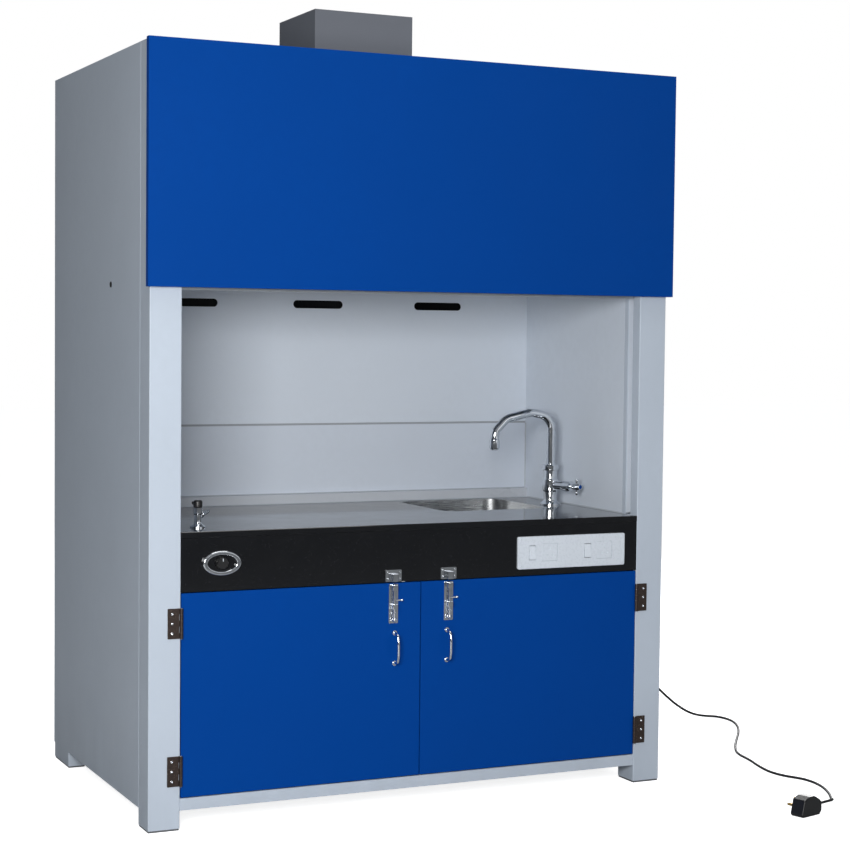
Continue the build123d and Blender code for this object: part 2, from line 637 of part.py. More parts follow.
def door_hinges(side):
    leaves = [door_leaf(z) for z in HINGE_Z]
    if side < 0:
        leaves = [mirrored(leaf) for leaf in leaves]
    return group(leaves)


def pull_handle(x):
    """Bow handle on two round feet."""
    bar_r = 4.5
    foot_r = 8.0
    middle = sum(HANDLE_Z) / 2
    low = HANDLE_Z[0] + foot_r
    high = HANDLE_Z[1] - foot_r
    grip_y = FRONT - HANDLE_REACH + bar_r
    points = [(x, FRONT - 3, low), (x, FRONT - 28, low + 5), (x, grip_y, middle - 20),
              (x, grip_y, middle + 20), (x, FRONT - 28, high - 5), (x, FRONT - 3, high)]
    handle = bent_bar(points, [11, 60, 60, 11], bar_r)
    for z in (low, high):
        handle += rod((x, FRONT, z), (x, FRONT - 4, z), foot_r)
    return handle


def bolt_base(x):
    """Tower bolt plate with two staples."""
    plate = rounded_block((x - 16, x + 16), (FRONT - 2, FRONT), (594, 719), 3.0, Axis.Y)
    for z in ((640.0, 655.0), (700.0, 716.0)):
        staple = rounded_block((x - 10, x + 10), (FRONT - 19, FRONT - 1), z, 4.0)
        plate += staple
    return plate - upright(x, BOLT_Y, (590, 725), BOLT_R + RUNNING_GAP)


def bolt_rod(x):
    """Bolt with a ball at its lower end and a thumb pin between the staples."""
    bottom = 606.0
    thumb = 668.0
    bolt = upright(x, BOLT_Y, (bottom, BOLT_TOP), BOLT_R)
    bolt += Pos(x, BOLT_Y, bottom) * Sphere(8.0)
    bolt = chamfer(bolt.edges().sort_by(Axis.Z)[-1], 1.0)
    bolt += rod((x, BOLT_Y, thumb), (x + 26, BOLT_Y, thumb), 3.0)
    return bolt + Pos(x + 26, BOLT_Y, thumb) * Sphere(4.0)


def bolt_keepers():
    """Two keepers screwed to the apron above the bolts."""
    keepers = []
    for x in (-BOLT_X, BOLT_X):
        plate = rounded_block((x - 28, x + 28), (FRONT - 1, FRONT + 1), (727, 764), 3.0, Axis.Y)
        loop = rounded_block((x - 11, x + 11), (FRONT - 20, FRONT), (728, 752), 5.0)
        keeper = plate + loop
        keeper -= upright(x, BOLT_Y, (720, BOLT_TOP + BOLT_THROW + 5), BOLT_R + 0.8)
        keepers.append(keeper)
    return group(keepers)


# ---------------------------------------------------------------- sash and its balance
def sash_frame():
    """Glazing frame with a lug at each side for the balance rope."""
    z = (SASH_BOTTOM, SASH_BOTTOM + SASH_HEIGHT)
    frame = block((-SASH_HALF, SASH_HALF), SASH_Y, z)
    frame -= block((40 - SASH_HALF, SASH_HALF - 40), (SASH_Y[0] - 1, SASH_Y[1] + 1), (z[0] + 45, z[1] - 30))
    glass_y = sum(SASH_Y) / 2
    frame -= block((30 - SASH_HALF, SASH_HALF - 30), (glass_y - 2.7, glass_y + 2.7), (z[0] + 35, z[1] - 20))
    lug = block((SASH_HALF - 1, ROPE_X + 10), (glass_y - 8, glass_y + 8), (LUG_TOP - 25, LUG_TOP))
    return frame + lug + mirrored(lug)


def sash_glass():
    z = (SASH_BOTTOM + 35.2, SASH_BOTTOM + SASH_HEIGHT - 20.2)
    glass_y = sum(SASH_Y) / 2
    return block((30.2 - SASH_HALF, SASH_HALF - 30.2), (glass_y - 2.5, glass_y + 2.5), z)


def sash_handle():
    """Lift bar on the sash's bottom rail."""
    z = SASH_BOTTOM + 22.0
    half = 90.0
    front = SASH_Y[0]
    points = [(-half, front, z), (-half, front - 28, z), (half, front - 28, z), (half, front, z)]
    bar = bent_bar(points, [12, 12], 5.0)
    for x in (-half, half):
        bar += rod((x, front, z), (x, front - 3, z), 9.0)
    return bar


def sash_guide():
    """The two angle strips that guide one side of the sash inside its column."""
    z = (WORKTOP_TOP + 4, TOP - 2)
    strips = []
    for y, leg in (((FRONT + 42.5, FRONT + 45), (FRONT + 28, FRONT + 45)),
                   ((FRONT + 75, FRONT + 77.5), (FRONT + 75, FRONT + 92))):
        wall = CLEAR + COLUMN_WALL
        strips.append(block((wall, wall + 40), y, z) + block((wall, wall + 2.5), leg, z))
    return strips


def counterweight():
    y = (FRONT + 110.0, FRONT + 170.0)
    weight = rounded_block((ROPE_X - 28, ROPE_X + 28), y, WEIGHT_Z, 6.0)
    return weight


def pulley():
    """Grooved wheel, free on its axle."""
    half_width = 7.0
    bore = AXLE_R + RUNNING_GAP
    bottom = PULLEY_R - ROPE_R - 0.4
    rim = PULLEY_R + 6.0
    profile = [(bore, -half_width), (rim, -half_width), (rim, -half_width + 2), (bottom, -2.6), (bottom, 2.6),
               (rim, half_width - 2), (rim, half_width), (bore, half_width)]
    return turned(profile, (ROPE_X, PULLEY_Y, PULLEY_Z), (1, 0, 0))


def pulley_bracket():
    """Two cheeks hung from the top panel, with the axle between them."""
    shape = rod((ROPE_X - 12, PULLEY_Y, PULLEY_Z), (ROPE_X + 12, PULLEY_Y, PULLEY_Z), AXLE_R)
    for x in (ROPE_X - 14, ROPE_X + 11):
        shape += block((x, x + 3), (PULLEY_Y - 15, PULLEY_Y + 15), (PULLEY_Z - 18, TOP))
    return shape


def rope_over_pulley():
    """The half turn of rope that lies on the wheel."""
    path = ThreePointArc((ROPE_X, PULLEY_Y - PULLEY_R, PULLEY_Z), (ROPE_X, PULLEY_Y, PULLEY_Z + PULLEY_R),
                         (ROPE_X, PULLEY_Y + PULLEY_R, PULLEY_Z))
    return sweep(Plane(origin=path @ 0, z_dir=path % 0) * Circle(ROPE_R), path=path)


# ---------------------------------------------------------------- mains lead
def lead_route():
    """The lead's line: out of the gland, down to the floor and forward to the plug."""
    out = HALF
    front = FRONT
    floor = LEAD_D / 2
    turn = math.radians(PLUG_TURN)
    approach = (
        PLUG_ENTRY[0] + PLUG_RUN * math.cos(turn),
        PLUG_ENTRY[1] + PLUG_RUN * math.sin(turn),
        PLUG_ENTRY[2],
    )
    return [
        (GLAND_END, GLAND_Y, GLAND_Z),
        (out + 105, GLAND_Y, GLAND_Z),
        (out + 190, front + 726, 412),
        (out + 269, front + 755, 356),
        (out + 343, front + 771, 288),
        (out + 421, front + 787, 208),
        (out + 505, front + 804, 139),
        (out + 588, front + 822, 73),
        (out + 671, front + 839, 25),
        (out + 741, front + 853, floor + 1),
        (out + 796, front + 826, floor),
        (out + 806, front + 742, floor),
        (out + 766, front + 640, floor),
        (out + 697, front + 535, floor),
        (out + 618, front + 434, floor),
        (out + 541, front + 332, floor),
        (out + 479, front + 231, floor),
        (out + 464, front + 130, floor),
        (out + 436, front + 37, floor),
        (out + 417, front - 55, floor),
        (out + 428, front - 130, floor),
        (out + 468, front - 196, floor),
        (out + 462, front - 290, floor),
        (out + 424, front - 385, floor),
        (out + 372, front - 466, floor + 2),
        approach,
        PLUG_ENTRY,
    ]


def route_radii(points):
    """The largest arc each corner's two runs allow."""
    radii = []
    for before, corner, after in zip(points, points[1:], points[2:]):
        run_in = Vector(*corner) - Vector(*before)
        run_out = Vector(*after) - Vector(*corner)
        half_turn = math.radians(run_in.get_angle(run_out)) / 2
        radii.append(0.45 * min(run_in.length, run_out.length) / math.tan(half_turn))
    return radii


def cord():
    points = lead_route()
    radii = route_radii(points)
    path = FilletPolyline(*[Vector(*p) for p in points], radius=radii)
    tube = sweep(Plane(origin=path @ 0, z_dir=path % 0) * Circle(LEAD_D / 2), path=path)
    section = math.pi * LEAD_D ** 2 / 4
    runs = [(Vector(*b) - Vector(*a)).length for a, b in zip(points, points[1:])]
    print("lead length %.0f, tube volume over section times length %.4f"
          % (path.length, tube.volume / (section * path.length)))
    print("lead radii", [round(r) for r in radii])
    print("lead runs", [round(r) for r in runs])
    return tube


def cable_gland():
    """Hexagon gland through the right-hand panel, its nose ending where the lead starts."""
    axis = Plane(origin=(HALF, GLAND_Y, GLAND_Z), z_dir=(1, 0, 0))
    gland = extrude(axis * RegularPolygon(14, 6), amount=9)
    nose = [(0, 9), (12, 9), (12, 18), (9, 25), (7.5, 28), (0, 28)]
    gland += turned(nose, (HALF, GLAND_Y, GLAND_Z), (1, 0, 0))
    gland += rod((HALF - 9, GLAND_Y, GLAND_Z), (HALF + 1, GLAND_Y, GLAND_Z), 8.0)
    lock_nut = Plane(origin=(HALF - SHEET - 5, GLAND_Y, GLAND_Z), z_dir=(1, 0, 0))
    return gland + extrude(lock_nut * RegularPolygon(13, 6), amount=5)


def plug_place():
    """Plug frame: the lead enters along local -X at the local origin."""
    return Pos(*PLUG_ENTRY) * Rot(0, 0, PLUG_TURN)


def plug_body():
    """Chunky rewirable plug lying on its edge, with a lead grip on one end."""
    thick = (-24.0, 24.0)
    outline = Polyline((-24, 0, -14), (-34, 0, -27), (-116, 0, -27), (-122, 0, -18), (-110, 0, 27),
                       (-84, 0, 36), (-60, 0, 36), (-34, 0, 22), (-24, 0, 12), close=True)
    body = extrude(make_face(outline), thick[1], both=True, dir=(0, 1, 0))
    body = fillet(body.edges().filter_by(Axis.Y), 4.0)
    body = fillet(body.faces().sort_by(Axis.Y)[0].edges(), 3.0)
    grip = turned([(0, 0), (6.5, 0), (9.5, 26), (0, 26)], (0, 0, 0), (-1, 0, 0))
    return plug_place() * (body + grip)


def plug_pins():
    pins = []
    for x, z, width, height, length in ((-104, 4, 4.5, 9, 26), (-80, -14, 4.5, 9, 20), (-80, 20, 4.5, 9, 20)):
        pin = block((x - width / 2, x + width / 2), (24, 24 + length), (z - height / 2, z + height / 2))
        pins.append(plug_place() * fillet(pin.faces().sort_by(Axis.Y)[-1].edges(), 1.2))
    return pins


# ---------------------------------------------------------------- all nodes
def build_frame():
    column = front_column()
    NODES["front_column_right"] = column
    NODES["front_column_left"] = mirrored(column)
    NODES["rear_columns"] = both_sides(rear_column())
    NODES["foot_pads"] = foot_pads()
    NODES["side_panel_right"] = outer_panel(with_gland_hole=True)
    NODES["side_panel_left"] = mirrored(outer_panel(with_gland_hole=False))
    NODES["side_liners"] = both_sides(liner())
    NODES["back_panel"] = back_panel()
    NODES["top_panel"] = top_panel()
    NODES["duct_collar"] = duct_collar()
    NODES["fascia"] = fascia()
    NODES["base_pan"] = base_pan()
    NODES["upper_baffle"] = upper_baffle()
    NODES["lower_baffle"] = lower_baffle()
    NODES["light_fitting"] = light_fitting()


def build_bench():
    NODES["worktop"] = worktop()
    NODES["apron"] = apron()
    NODES["sink_bowl"] = sink_bowl()
    NODES["sink_waste"] = sink_waste()
    NODES["bottle_trap"] = bottle_trap()
    NODES["service_pipes"] = service_pipes()
    NODES["tap_body"] = tap_body()
    NODES["tap_spout"] = tap_spout()
    NODES["tap_handle"] = tap_handle()
    NODES["gas_cock_body"] = gas_cock_body()
    NODES["gas_cock_handle"] = gas_cock_handle()
    NODES["control_bezel"] = control_bezel()
    NODES["control_knob"] = control_knob()
    NODES["switch_plate"] = switch_plate()
    NODES["switch_box"] = switch_box()
    NODES["socket_inserts"] = socket_inserts()
    NODES["rocker_left"] = rocker(ROCKER_X[0])
    NODES["rocker_right"] = rocker(ROCKER_X[1])


def build_doors():
    leaf = door()
    NODES["door_right"] = leaf
    NODES["door_left"] = mirrored(leaf)
    NODES["column_hinges"] = column_hinges()
    NODES["bolt_keepers"] = bolt_keepers()
    for name, side in (("left", -1), ("right", 1)):
        NODES["door_hinges_" + name] = door_hinges(side)
        NODES["pull_handle_" + name] = pull_handle(side * HANDLE_X)
        NODES["bolt_base_" + name] = bolt_base(side * BOLT_X)
        NODES["bolt_rod_" + name] = bolt_rod(side * BOLT_X)


def build_sash():
    NODES["sash_frame"] = sash_frame()
    NODES["sash_glass"] = sash_glass()
    NODES["sash_handle"] = sash_handle()
    strips = sash_guide()
    NODES["sash_guides"] = group(strips + [mirrored(strip) for strip in strips])
    NODES["counterweight_right"] = counterweight()
    NODES["counterweight_left"] = mirrored(counterweight())
    NODES["pulley_right"] = pulley()
    NODES["pulley_left"] = mirrored(pulley())
    NODES["pulley_brackets"] = both_sides(pulley_bracket())
    front_y = PULLEY_Y - PULLEY_R
    rear_y = PULLEY_Y + PULLEY_R
    NODES["rope_front_spans"] = both_sides(upright(ROPE_X, front_y, (LUG_TOP, PULLEY_Z), ROPE_R))
    NODES["rope_rear_spans"] = both_sides(upright(ROPE_X, rear_y, (WEIGHT_Z[1], PULLEY_Z), ROPE_R))
    NODES["rope_over_pulleys"] = both_sides(rope_over_pulley())


def build_lead():
    NODES["cable_gland"] = cable_gland()
    NODES["cord"] = cord()
    NODES["plug"] = group([plug_body()] + plug_pins())


build_frame()
build_bench()
build_doors()
build_sash()
build_lead()

os.makedirs("parts", exist_ok=True)
for name, shape in NODES.items():
    export_step(shape, os.path.join("parts", name + ".step"))
print(len(NODES), "nodes")
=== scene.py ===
"""The looks of a floor-standing fume hood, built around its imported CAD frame.

Metres, +X to the right, +Y to the back, +Z up.  Places on the hood are worked out from the frame's
own nodes; the mains lead's route is a list, which repeats the CAD part's points.
"""
import json
import math
import random

import bmesh
import bpy
from mathutils import Matrix, Vector

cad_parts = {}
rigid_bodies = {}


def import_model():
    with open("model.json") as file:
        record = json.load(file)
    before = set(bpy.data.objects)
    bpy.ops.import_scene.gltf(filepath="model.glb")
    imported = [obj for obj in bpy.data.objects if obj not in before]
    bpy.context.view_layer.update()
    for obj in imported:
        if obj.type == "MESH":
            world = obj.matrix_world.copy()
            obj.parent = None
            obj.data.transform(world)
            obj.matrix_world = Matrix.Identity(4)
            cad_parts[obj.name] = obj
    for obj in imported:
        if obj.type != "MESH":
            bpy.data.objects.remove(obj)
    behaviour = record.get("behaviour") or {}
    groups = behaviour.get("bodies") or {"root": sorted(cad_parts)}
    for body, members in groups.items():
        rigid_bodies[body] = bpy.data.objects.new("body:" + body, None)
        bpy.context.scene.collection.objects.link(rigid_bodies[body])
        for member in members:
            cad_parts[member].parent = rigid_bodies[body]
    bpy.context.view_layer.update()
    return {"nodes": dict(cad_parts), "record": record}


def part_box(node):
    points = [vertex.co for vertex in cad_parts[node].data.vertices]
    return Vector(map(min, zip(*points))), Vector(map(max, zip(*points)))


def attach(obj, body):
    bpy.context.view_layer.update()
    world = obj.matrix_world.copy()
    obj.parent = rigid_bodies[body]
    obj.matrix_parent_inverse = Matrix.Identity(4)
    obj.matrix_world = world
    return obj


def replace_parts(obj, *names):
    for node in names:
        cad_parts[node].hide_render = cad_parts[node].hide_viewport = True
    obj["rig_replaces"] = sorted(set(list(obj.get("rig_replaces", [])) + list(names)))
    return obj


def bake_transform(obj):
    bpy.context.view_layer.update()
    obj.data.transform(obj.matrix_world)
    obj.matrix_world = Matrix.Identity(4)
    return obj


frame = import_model()
NODES = frame["nodes"]
SUBPARTS = {part["node"]: part["material_slot"] for part in frame["record"]["subparts"]}
BODY_OF = {node: body for body, nodes in frame["record"]["behaviour"]["bodies"].items()
           for node in nodes}
JOINTS = {joint["name"]: joint for joint in frame["record"]["behaviour"]["joints"]}

MM = 0.001
LEFT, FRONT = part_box("front_column_left")[0].xy
RIGHT = -LEFT
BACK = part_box("back_panel")[1].y
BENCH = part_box("lower_baffle")[0].z
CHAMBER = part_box("worktop")[1].x                # half the width between the side liners
FRAME_BODY = BODY_OF["fascia"]
EDGE = 0.8 * MM                                 # usual rounding of an edge
WELD = 1e-6                                     # points closer than this are one
SHARP = math.radians(38)                        # faces that meet more sharply are not smoothed

CAMERA_PLACE = (LEFT - 1.6731, FRONT - 5.4850, 1.5127)
CAMERA_TURN, CAMERA_TILT, CAMERA_ROLL = (math.radians(a) for a in (25.197, 2.740, 0.606))
CAMERA_LENS = 80.79                             # mm
HOOD_MIDDLE = (0, 0, 1.2)
STUDIO_LIGHTS = (                               # name, place, target, size, watts, colour
    ("key", (LEFT - 1.75, FRONT - 4.0, 1.85), HOOD_MIDDLE, (2.0, 1.2), 186, (1.0, 1.0, 0.99)),
    ("rear", (RIGHT + 3.6, BACK + 3.4, 2.9), HOOD_MIDDLE, (2.4, 2.0), 190, (1, 1, 1)),
    ("top", (0.2, -1.2, 5.2), (0, -0.3, 0), (3.0, 2.0), 55, (1, 1, 1)),
)
STUDIO_LEVEL = 0.085                            # light that comes from all round
STUDIO_GLOWS = (                                # direction, cosine of the edge angle, strength
    ((0.42, -0.90, -0.02), 0.90, 0.9),
    ((0.10, -0.60, 0.80), 0.30, 0.25),
)
FLOOR_GLOW = 0.82                               # lifts the floor to the paper's white
FLOOR_HALF = 30                                 # metres from the middle to an edge

MIX_FACTOR, MIX_BELOW, MIX_ABOVE = 0, 6, 7      # inputs of a Mix node that blends colours
MIX_COLOUR = 2                                  # and its output


# ---------------------------------------------------------------- camera, light and floor
def make_camera():
    """A long lens, seen from the left of the hood's middle and slightly above half height."""
    turn, tilt, roll = CAMERA_TURN, CAMERA_TILT, CAMERA_ROLL
    forward = Vector((math.sin(turn) * math.cos(tilt), math.cos(turn) * math.cos(tilt),
                      -math.sin(tilt)))
    level = Vector((math.cos(turn), -math.sin(turn), 0))
    upward = level.cross(forward)
    right = level * math.cos(roll) + upward * math.sin(roll)
    up = upward * math.cos(roll) - level * math.sin(roll)
    camera = bpy.data.objects.new("camera", bpy.data.cameras.new("camera"))
    camera.data.lens = CAMERA_LENS
    camera.data.clip_end = 100
    place = Matrix((right, up, -forward)).transposed().to_4x4()
    place.translation = CAMERA_PLACE
    camera.matrix_world = place
    bpy.context.scene.collection.objects.link(camera)
    bpy.context.scene.camera = camera


def area_light(name, place, target, size, power, colour):
    """A soft box aimed at a point."""
    light = bpy.data.lights.new(name, "AREA")
    light.shape = "RECTANGLE"
    light.size, light.size_y = size
    light.energy = power
    light.color = colour
    lamp = bpy.data.objects.new(name, light)
    lamp.location = place
    lamp.rotation_euler = (Vector(target) - Vector(place)).to_track_quat("-Z", "Y").to_euler()
    lamp.visible_camera = False
    bpy.context.scene.collection.objects.link(lamp)


def world_glow(tree, direction, toward, inner, strength):
    """Light from one part of the studio, fading out from its middle to the edge angle."""
    glow = tree.nodes.new("ShaderNodeVectorMath")
    glow.operation = "DOT_PRODUCT"
    glow.inputs[1].default_value = Vector(toward).normalized()
    tree.links.new(direction, glow.inputs[0])
    fade = tree.nodes.new("ShaderNodeMapRange")
    fade.interpolation_type = "SMOOTHSTEP"
    fade.inputs["From Min"].default_value = inner
    fade.inputs["From Max"].default_value = 1.0
    fade.inputs["To Max"].default_value = strength
    tree.links.new(glow.outputs["Value"], fade.inputs["Value"])
    return fade.outputs["Result"]


def make_world():
    """A studio with white paper behind the hood, dim all round and bright low down in front."""
    world = bpy.data.worlds.new("studio")
    bpy.context.scene.world = world
    world.use_nodes = True
    tree = world.node_tree
    tree.nodes.clear()
    new, link = tree.nodes.new, tree.links.new
    direction = new("ShaderNodeTexCoord").outputs["Generated"]
    strength = None
    for toward, inner, amount in STUDIO_GLOWS:
        glow = world_glow(tree, direction, toward, inner, amount)
        add = new("ShaderNodeMath")
        add.operation = "ADD"
        link(glow, add.inputs[0])
        add.inputs[1].default_value = STUDIO_LEVEL
        if strength:
            link(strength, add.inputs[1])
        strength = add.outputs["Value"]
    lighting = new("ShaderNodeBackground")
    lighting.inputs["Color"].default_value = (0.93, 0.96, 1.0, 1)
    link(strength, lighting.inputs["Strength"])
    paper = new("ShaderNodeBackground")
    paper.inputs["Color"].default_value = (1, 1, 1, 1)
    paper.inputs["Strength"].default_value = 1.0
    mix = new("ShaderNodeMixShader")
    link(new("ShaderNodeLightPath").outputs["Is Camera Ray"], mix.inputs[0])
    link(lighting.outputs[0], mix.inputs[1])
    link(paper.outputs[0], mix.inputs[2])
    link(mix.outputs[0], new("ShaderNodeOutputWorld").inputs["Surface"])


def make_floor():
    """Pale floor, brighter to the eye than the light it throws back onto the hood."""
    paint = Paint("floor", (0.40, 0.41, 0.42), 0.6)
    paint.mottle(1.2, 0.02)
    bright = paint.node("BsdfDiffuse")
    bright.inputs["Color"].default_value = (0.95, 0.95, 0.95, 1)
    glow = paint.node("Emission")
    glow.inputs["Strength"].default_value = FLOOR_GLOW
    both = paint.node("AddShader")
    paint.link(bright.outputs[0], both.inputs[0])
    paint.link(glow.outputs[0], both.inputs[1])
    mix = paint.node("MixShader")
    paint.link(paint.node("LightPath").outputs["Is Camera Ray"], mix.inputs[0])
    paint.link(paint.shader.outputs[0], mix.inputs[1])
    paint.link(both.outputs[0], mix.inputs[2])
    paint.link(mix.outputs[0], paint.tree.nodes["Material Output"].inputs["Surface"])
    bm = bmesh.new()
    bmesh.ops.create_grid(bm, x_segments=1, y_segments=1, size=FLOOR_HALF)
    linked(bm, "floor", paint.material)


def make_studio():
    """World, floor and the three soft boxes."""
    make_world()
    make_floor()
    for light in STUDIO_LIGHTS:
        area_light(*light)


# ---------------------------------------------------------------- materials
def srgb(red, green, blue):
    """Linear colour from the 0..255 values of a paint chart."""
    chart = (value / 255 for value in (red, green, blue))
    return tuple(v / 12.92 if v <= 0.04045 else ((v + 0.055) / 1.055) ** 2.4 for v in chart)


class Paint:
    """A Principled material, and short ways to give it surface detail from noise."""

    def __init__(self, name, colour, roughness, metallic=0.0, **sockets):
        self.material = bpy.data.materials.new(name)
        self.material.use_nodes = True
        self.material.diffuse_color = (*colour, 1)
        self.tree = self.material.node_tree
        self.shader = self.tree.nodes["Principled BSDF"]
        self.colour = colour
        self.rough = roughness
        self.height = None
        values = {"Base Color": (*colour, 1), "Roughness": roughness, "Metallic": metallic}
        values.update({key.replace("_", " "): value for key, value in sockets.items()})
        for socket, value in values.items():
            self.shader.inputs[socket].default_value = value

    def node(self, kind, **settings):
        """A new shader node of that kind."""
        made = self.tree.nodes.new("ShaderNode" + kind)
        for key, value in settings.items():
            setattr(made, key, value)
        return made

    def link(self, output, socket):
        """Joins one node's output to another's input."""
        self.tree.links.new(output, socket)

    def coordinates(self, stretch=(1, 1, 1)):
        """The piece's own place in metres, squeezed along an axis to draw out a grain."""
        mapping = self.node("Mapping")
        mapping.inputs["Scale"].default_value = stretch
        self.link(self.node("TexCoord").outputs["Object"], mapping.inputs["Vector"])
        return mapping.outputs["Vector"]

    def noise(self, scale, detail=3, stretch=(1, 1, 1)):
        """A cloudy value of 0..1 with about that many patches to the metre."""
        made = self.node("TexNoise")
        made.inputs["Scale"].default_value = scale
        made.inputs["Detail"].default_value = detail
        self.link(self.coordinates(stretch), made.inputs["Vector"])
        return made.outputs["Fac"]

    def spread(self, factor, low, high, interval=(0.3, 0.7)):
        """Stretches a noise value to the range low..high."""
        made = self.node("MapRange")
        made.inputs["From Min"].default_value = interval[0]
        made.inputs["From Max"].default_value = interval[1]
        made.inputs["To Min"].default_value = low
        made.inputs["To Max"].default_value = high
        self.link(factor, made.inputs["Value"])
        return made.outputs["Result"]

    def blend_colour(self, factor, other):
        """Lays another colour over what is there, by factor."""
        socket = self.shader.inputs["Base Color"]
        mix = self.node("Mix", data_type="RGBA")
        if socket.is_linked:
            self.link(socket.links[0].from_socket, mix.inputs[MIX_BELOW])
        else:
            mix.inputs[MIX_BELOW].default_value = socket.default_value
        mix.inputs[MIX_ABOVE].default_value = (*other, 1)
        self.link(factor, mix.inputs[MIX_FACTOR])
        self.link(mix.outputs[MIX_COLOUR], socket)

    def mottle(self, scale, amount, detail=4, stretch=(1, 1, 1)):
        """Faint uneven colour: darker by amount in patches."""
        factor = self.spread(self.noise(scale, detail, stretch), 0.0, 1.0, (0.35, 0.65))
        self.blend_colour(factor, tuple(c * (1 - amount) for c in self.colour))

    def uneven_gloss(self, scale, amount, detail=4, stretch=(1, 1, 1)):
        """Roughness that wanders by amount either way."""
        factor = self.noise(scale, detail, stretch)
        low, high = max(self.rough - amount, 0.02), self.rough + amount
        self.link(self.spread(factor, low, high), self.shader.inputs["Roughness"])

    def relief(self, scale, depth, detail=2, stretch=(1, 1, 1)):
        """Bump of the given depth in metres; a second call adds to the first."""
        bump = self.node("Bump")
        bump.inputs["Strength"].default_value = 1.0
        bump.inputs["Distance"].default_value = depth
        self.link(self.noise(scale, detail, stretch), bump.inputs["Height"])
        if self.height:
            self.link(self.height, bump.inputs["Normal"])
        self.height = bump.outputs["Normal"]
        self.link(self.height, self.shader.inputs["Normal"])

    def flecks(self, scale, share, colour):
        """Scattered grains: the given share of cells takes another colour."""
        cells = self.node("TexVoronoi")
        cells.inputs["Scale"].default_value = scale
        self.link(self.coordinates(), cells.inputs["Vector"])
        parts = self.node("SeparateColor")
        self.link(cells.outputs["Color"], parts.inputs["Color"])
        edge = 1 - share
        self.blend_colour(self.spread(parts.outputs["Red"], 0, 1, (edge, edge + 0.02)), colour)

    def darken_low(self, start, end, amount):
        """Darker streaks in the colour, growing from height start down to height end."""
        height = self.node("SeparateXYZ")
        self.link(self.coordinates(), height.inputs["Vector"])
        fall = self.spread(height.outputs["Z"], 0.0, amount, (start, end))
        streak = self.node("Math", operation="MULTIPLY")
        self.link(fall, streak.inputs[0])
        self.link(self.spread(self.noise(9, 5, (1, 1, 0.25)), 0.2, 1.0), streak.inputs[1])
        self.blend_colour(streak.outputs["Value"], tuple(c * 0.5 for c in self.colour))


def powder_coat(name, colour, roughness, low_darkening=0.0, shine=0.45):
    """Sprayed and baked coat: orange peel, a finer grain and slightly uneven gloss."""
    paint = Paint(name, colour, roughness, Specular_IOR_Level=shine)
    paint.mottle(2.2, 0.05)
    paint.mottle(38, 0.03)
    if low_darkening:
        paint.darken_low(0.35, 0.0, low_darkening)
    paint.uneven_gloss(6, 0.05)
    paint.relief(420, 0.00012)
    paint.relief(1500, 0.00003)
    return paint.material


def black_stone(name, coat):
    """Dense black stone with sparse dark grains; a coat of more than 0 is a polish."""
    paint = Paint(name, srgb(13, 14, 17), 0.09, IOR=1.55, Coat_Weight=coat, Coat_Roughness=0.04)
    paint.flecks(900, 0.05, srgb(32, 33, 37))
    paint.flecks(600, 0.015, srgb(52, 52, 56))
    paint.uneven_gloss(14, 0.04)
    paint.relief(5, 0.00015)
    return paint.material


def brushed(name, colour, roughness, along, fine=1.0):
    """Metal with a grain drawn out along one axis."""
    stretch = tuple(0.02 if axis == along else 1.0 for axis in "xyz")
    paint = Paint(name, colour, roughness, 1.0)
    paint.mottle(900 * fine, 0.10, 3, stretch)
    paint.mottle(12, 0.06)
    paint.uneven_gloss(700 * fine, 0.08, 4, stretch)
    paint.relief(1100 * fine, 0.00003, 3, stretch)
    return paint.material


def plated(name, colour, roughness):
    """Bright plating with faint smears."""
    paint = Paint(name, colour, roughness, 1.0)
    paint.mottle(60, 0.05)
    paint.uneven_gloss(90, roughness * 0.6, 5)
    paint.relief(160, 0.00002)
    return paint.material


def moulded(name, colour, roughness, grain=0.00003):
    """Moulded plastic or rubber with a fine sparked grain."""
    paint = Paint(name, colour, roughness)
    paint.mottle(7, 0.03)
    paint.uneven_gloss(120, 0.025)
    paint.relief(2200, grain)
    return paint.material


def bronze():
    """Dark bronze finish, rubbed brighter in small patches."""
    paint = Paint("bronze", srgb(74, 64, 60), 0.42, 0.85)
    paint.blend_colour(paint.spread(paint.noise(240, 6), 0, 0.8, (0.56, 0.72)), srgb(122, 104, 92))
    paint.uneven_gloss(150, 0.10)
    paint.relief(600, 0.00006)
    return paint.material


def cast_iron():
    """Rough grey casting."""
    paint = Paint("cast_iron", srgb(62, 64, 68), 0.65, 0.3)
    paint.mottle(40, 0.2)
    paint.relief(350, 0.0004, 5)
    paint.relief(1400, 0.0001, 3)
    return paint.material


def copper():
    """Drawn pipe, browned in patches."""
    paint = Paint("copper", srgb(190, 122, 86), 0.32, 1.0)
    paint.blend_colour(paint.spread(paint.noise(30, 6), 0, 0.7, (0.5, 0.7)), srgb(112, 70, 52))
    paint.uneven_gloss(50, 0.12)
    paint.relief(500, 0.00003)
    return paint.material


def clear_glass():
    """Float glass, very slightly wavy."""
    paint = Paint("glass", (0.93, 0.98, 0.97), 0.02, Transmission_Weight=1.0, IOR=1.5)
    paint.relief(3, 0.0002)
    return paint.material


def lamp_tube():
    """White tube that glows a little."""
    paint = Paint("lamp_tube", (0.9, 0.9, 0.88), 0.3, Emission_Strength=0.6)
    paint.shader.inputs["Emission Color"].default_value = (1, 0.98, 0.94, 1)
    paint.mottle(20, 0.03)
    return paint.material


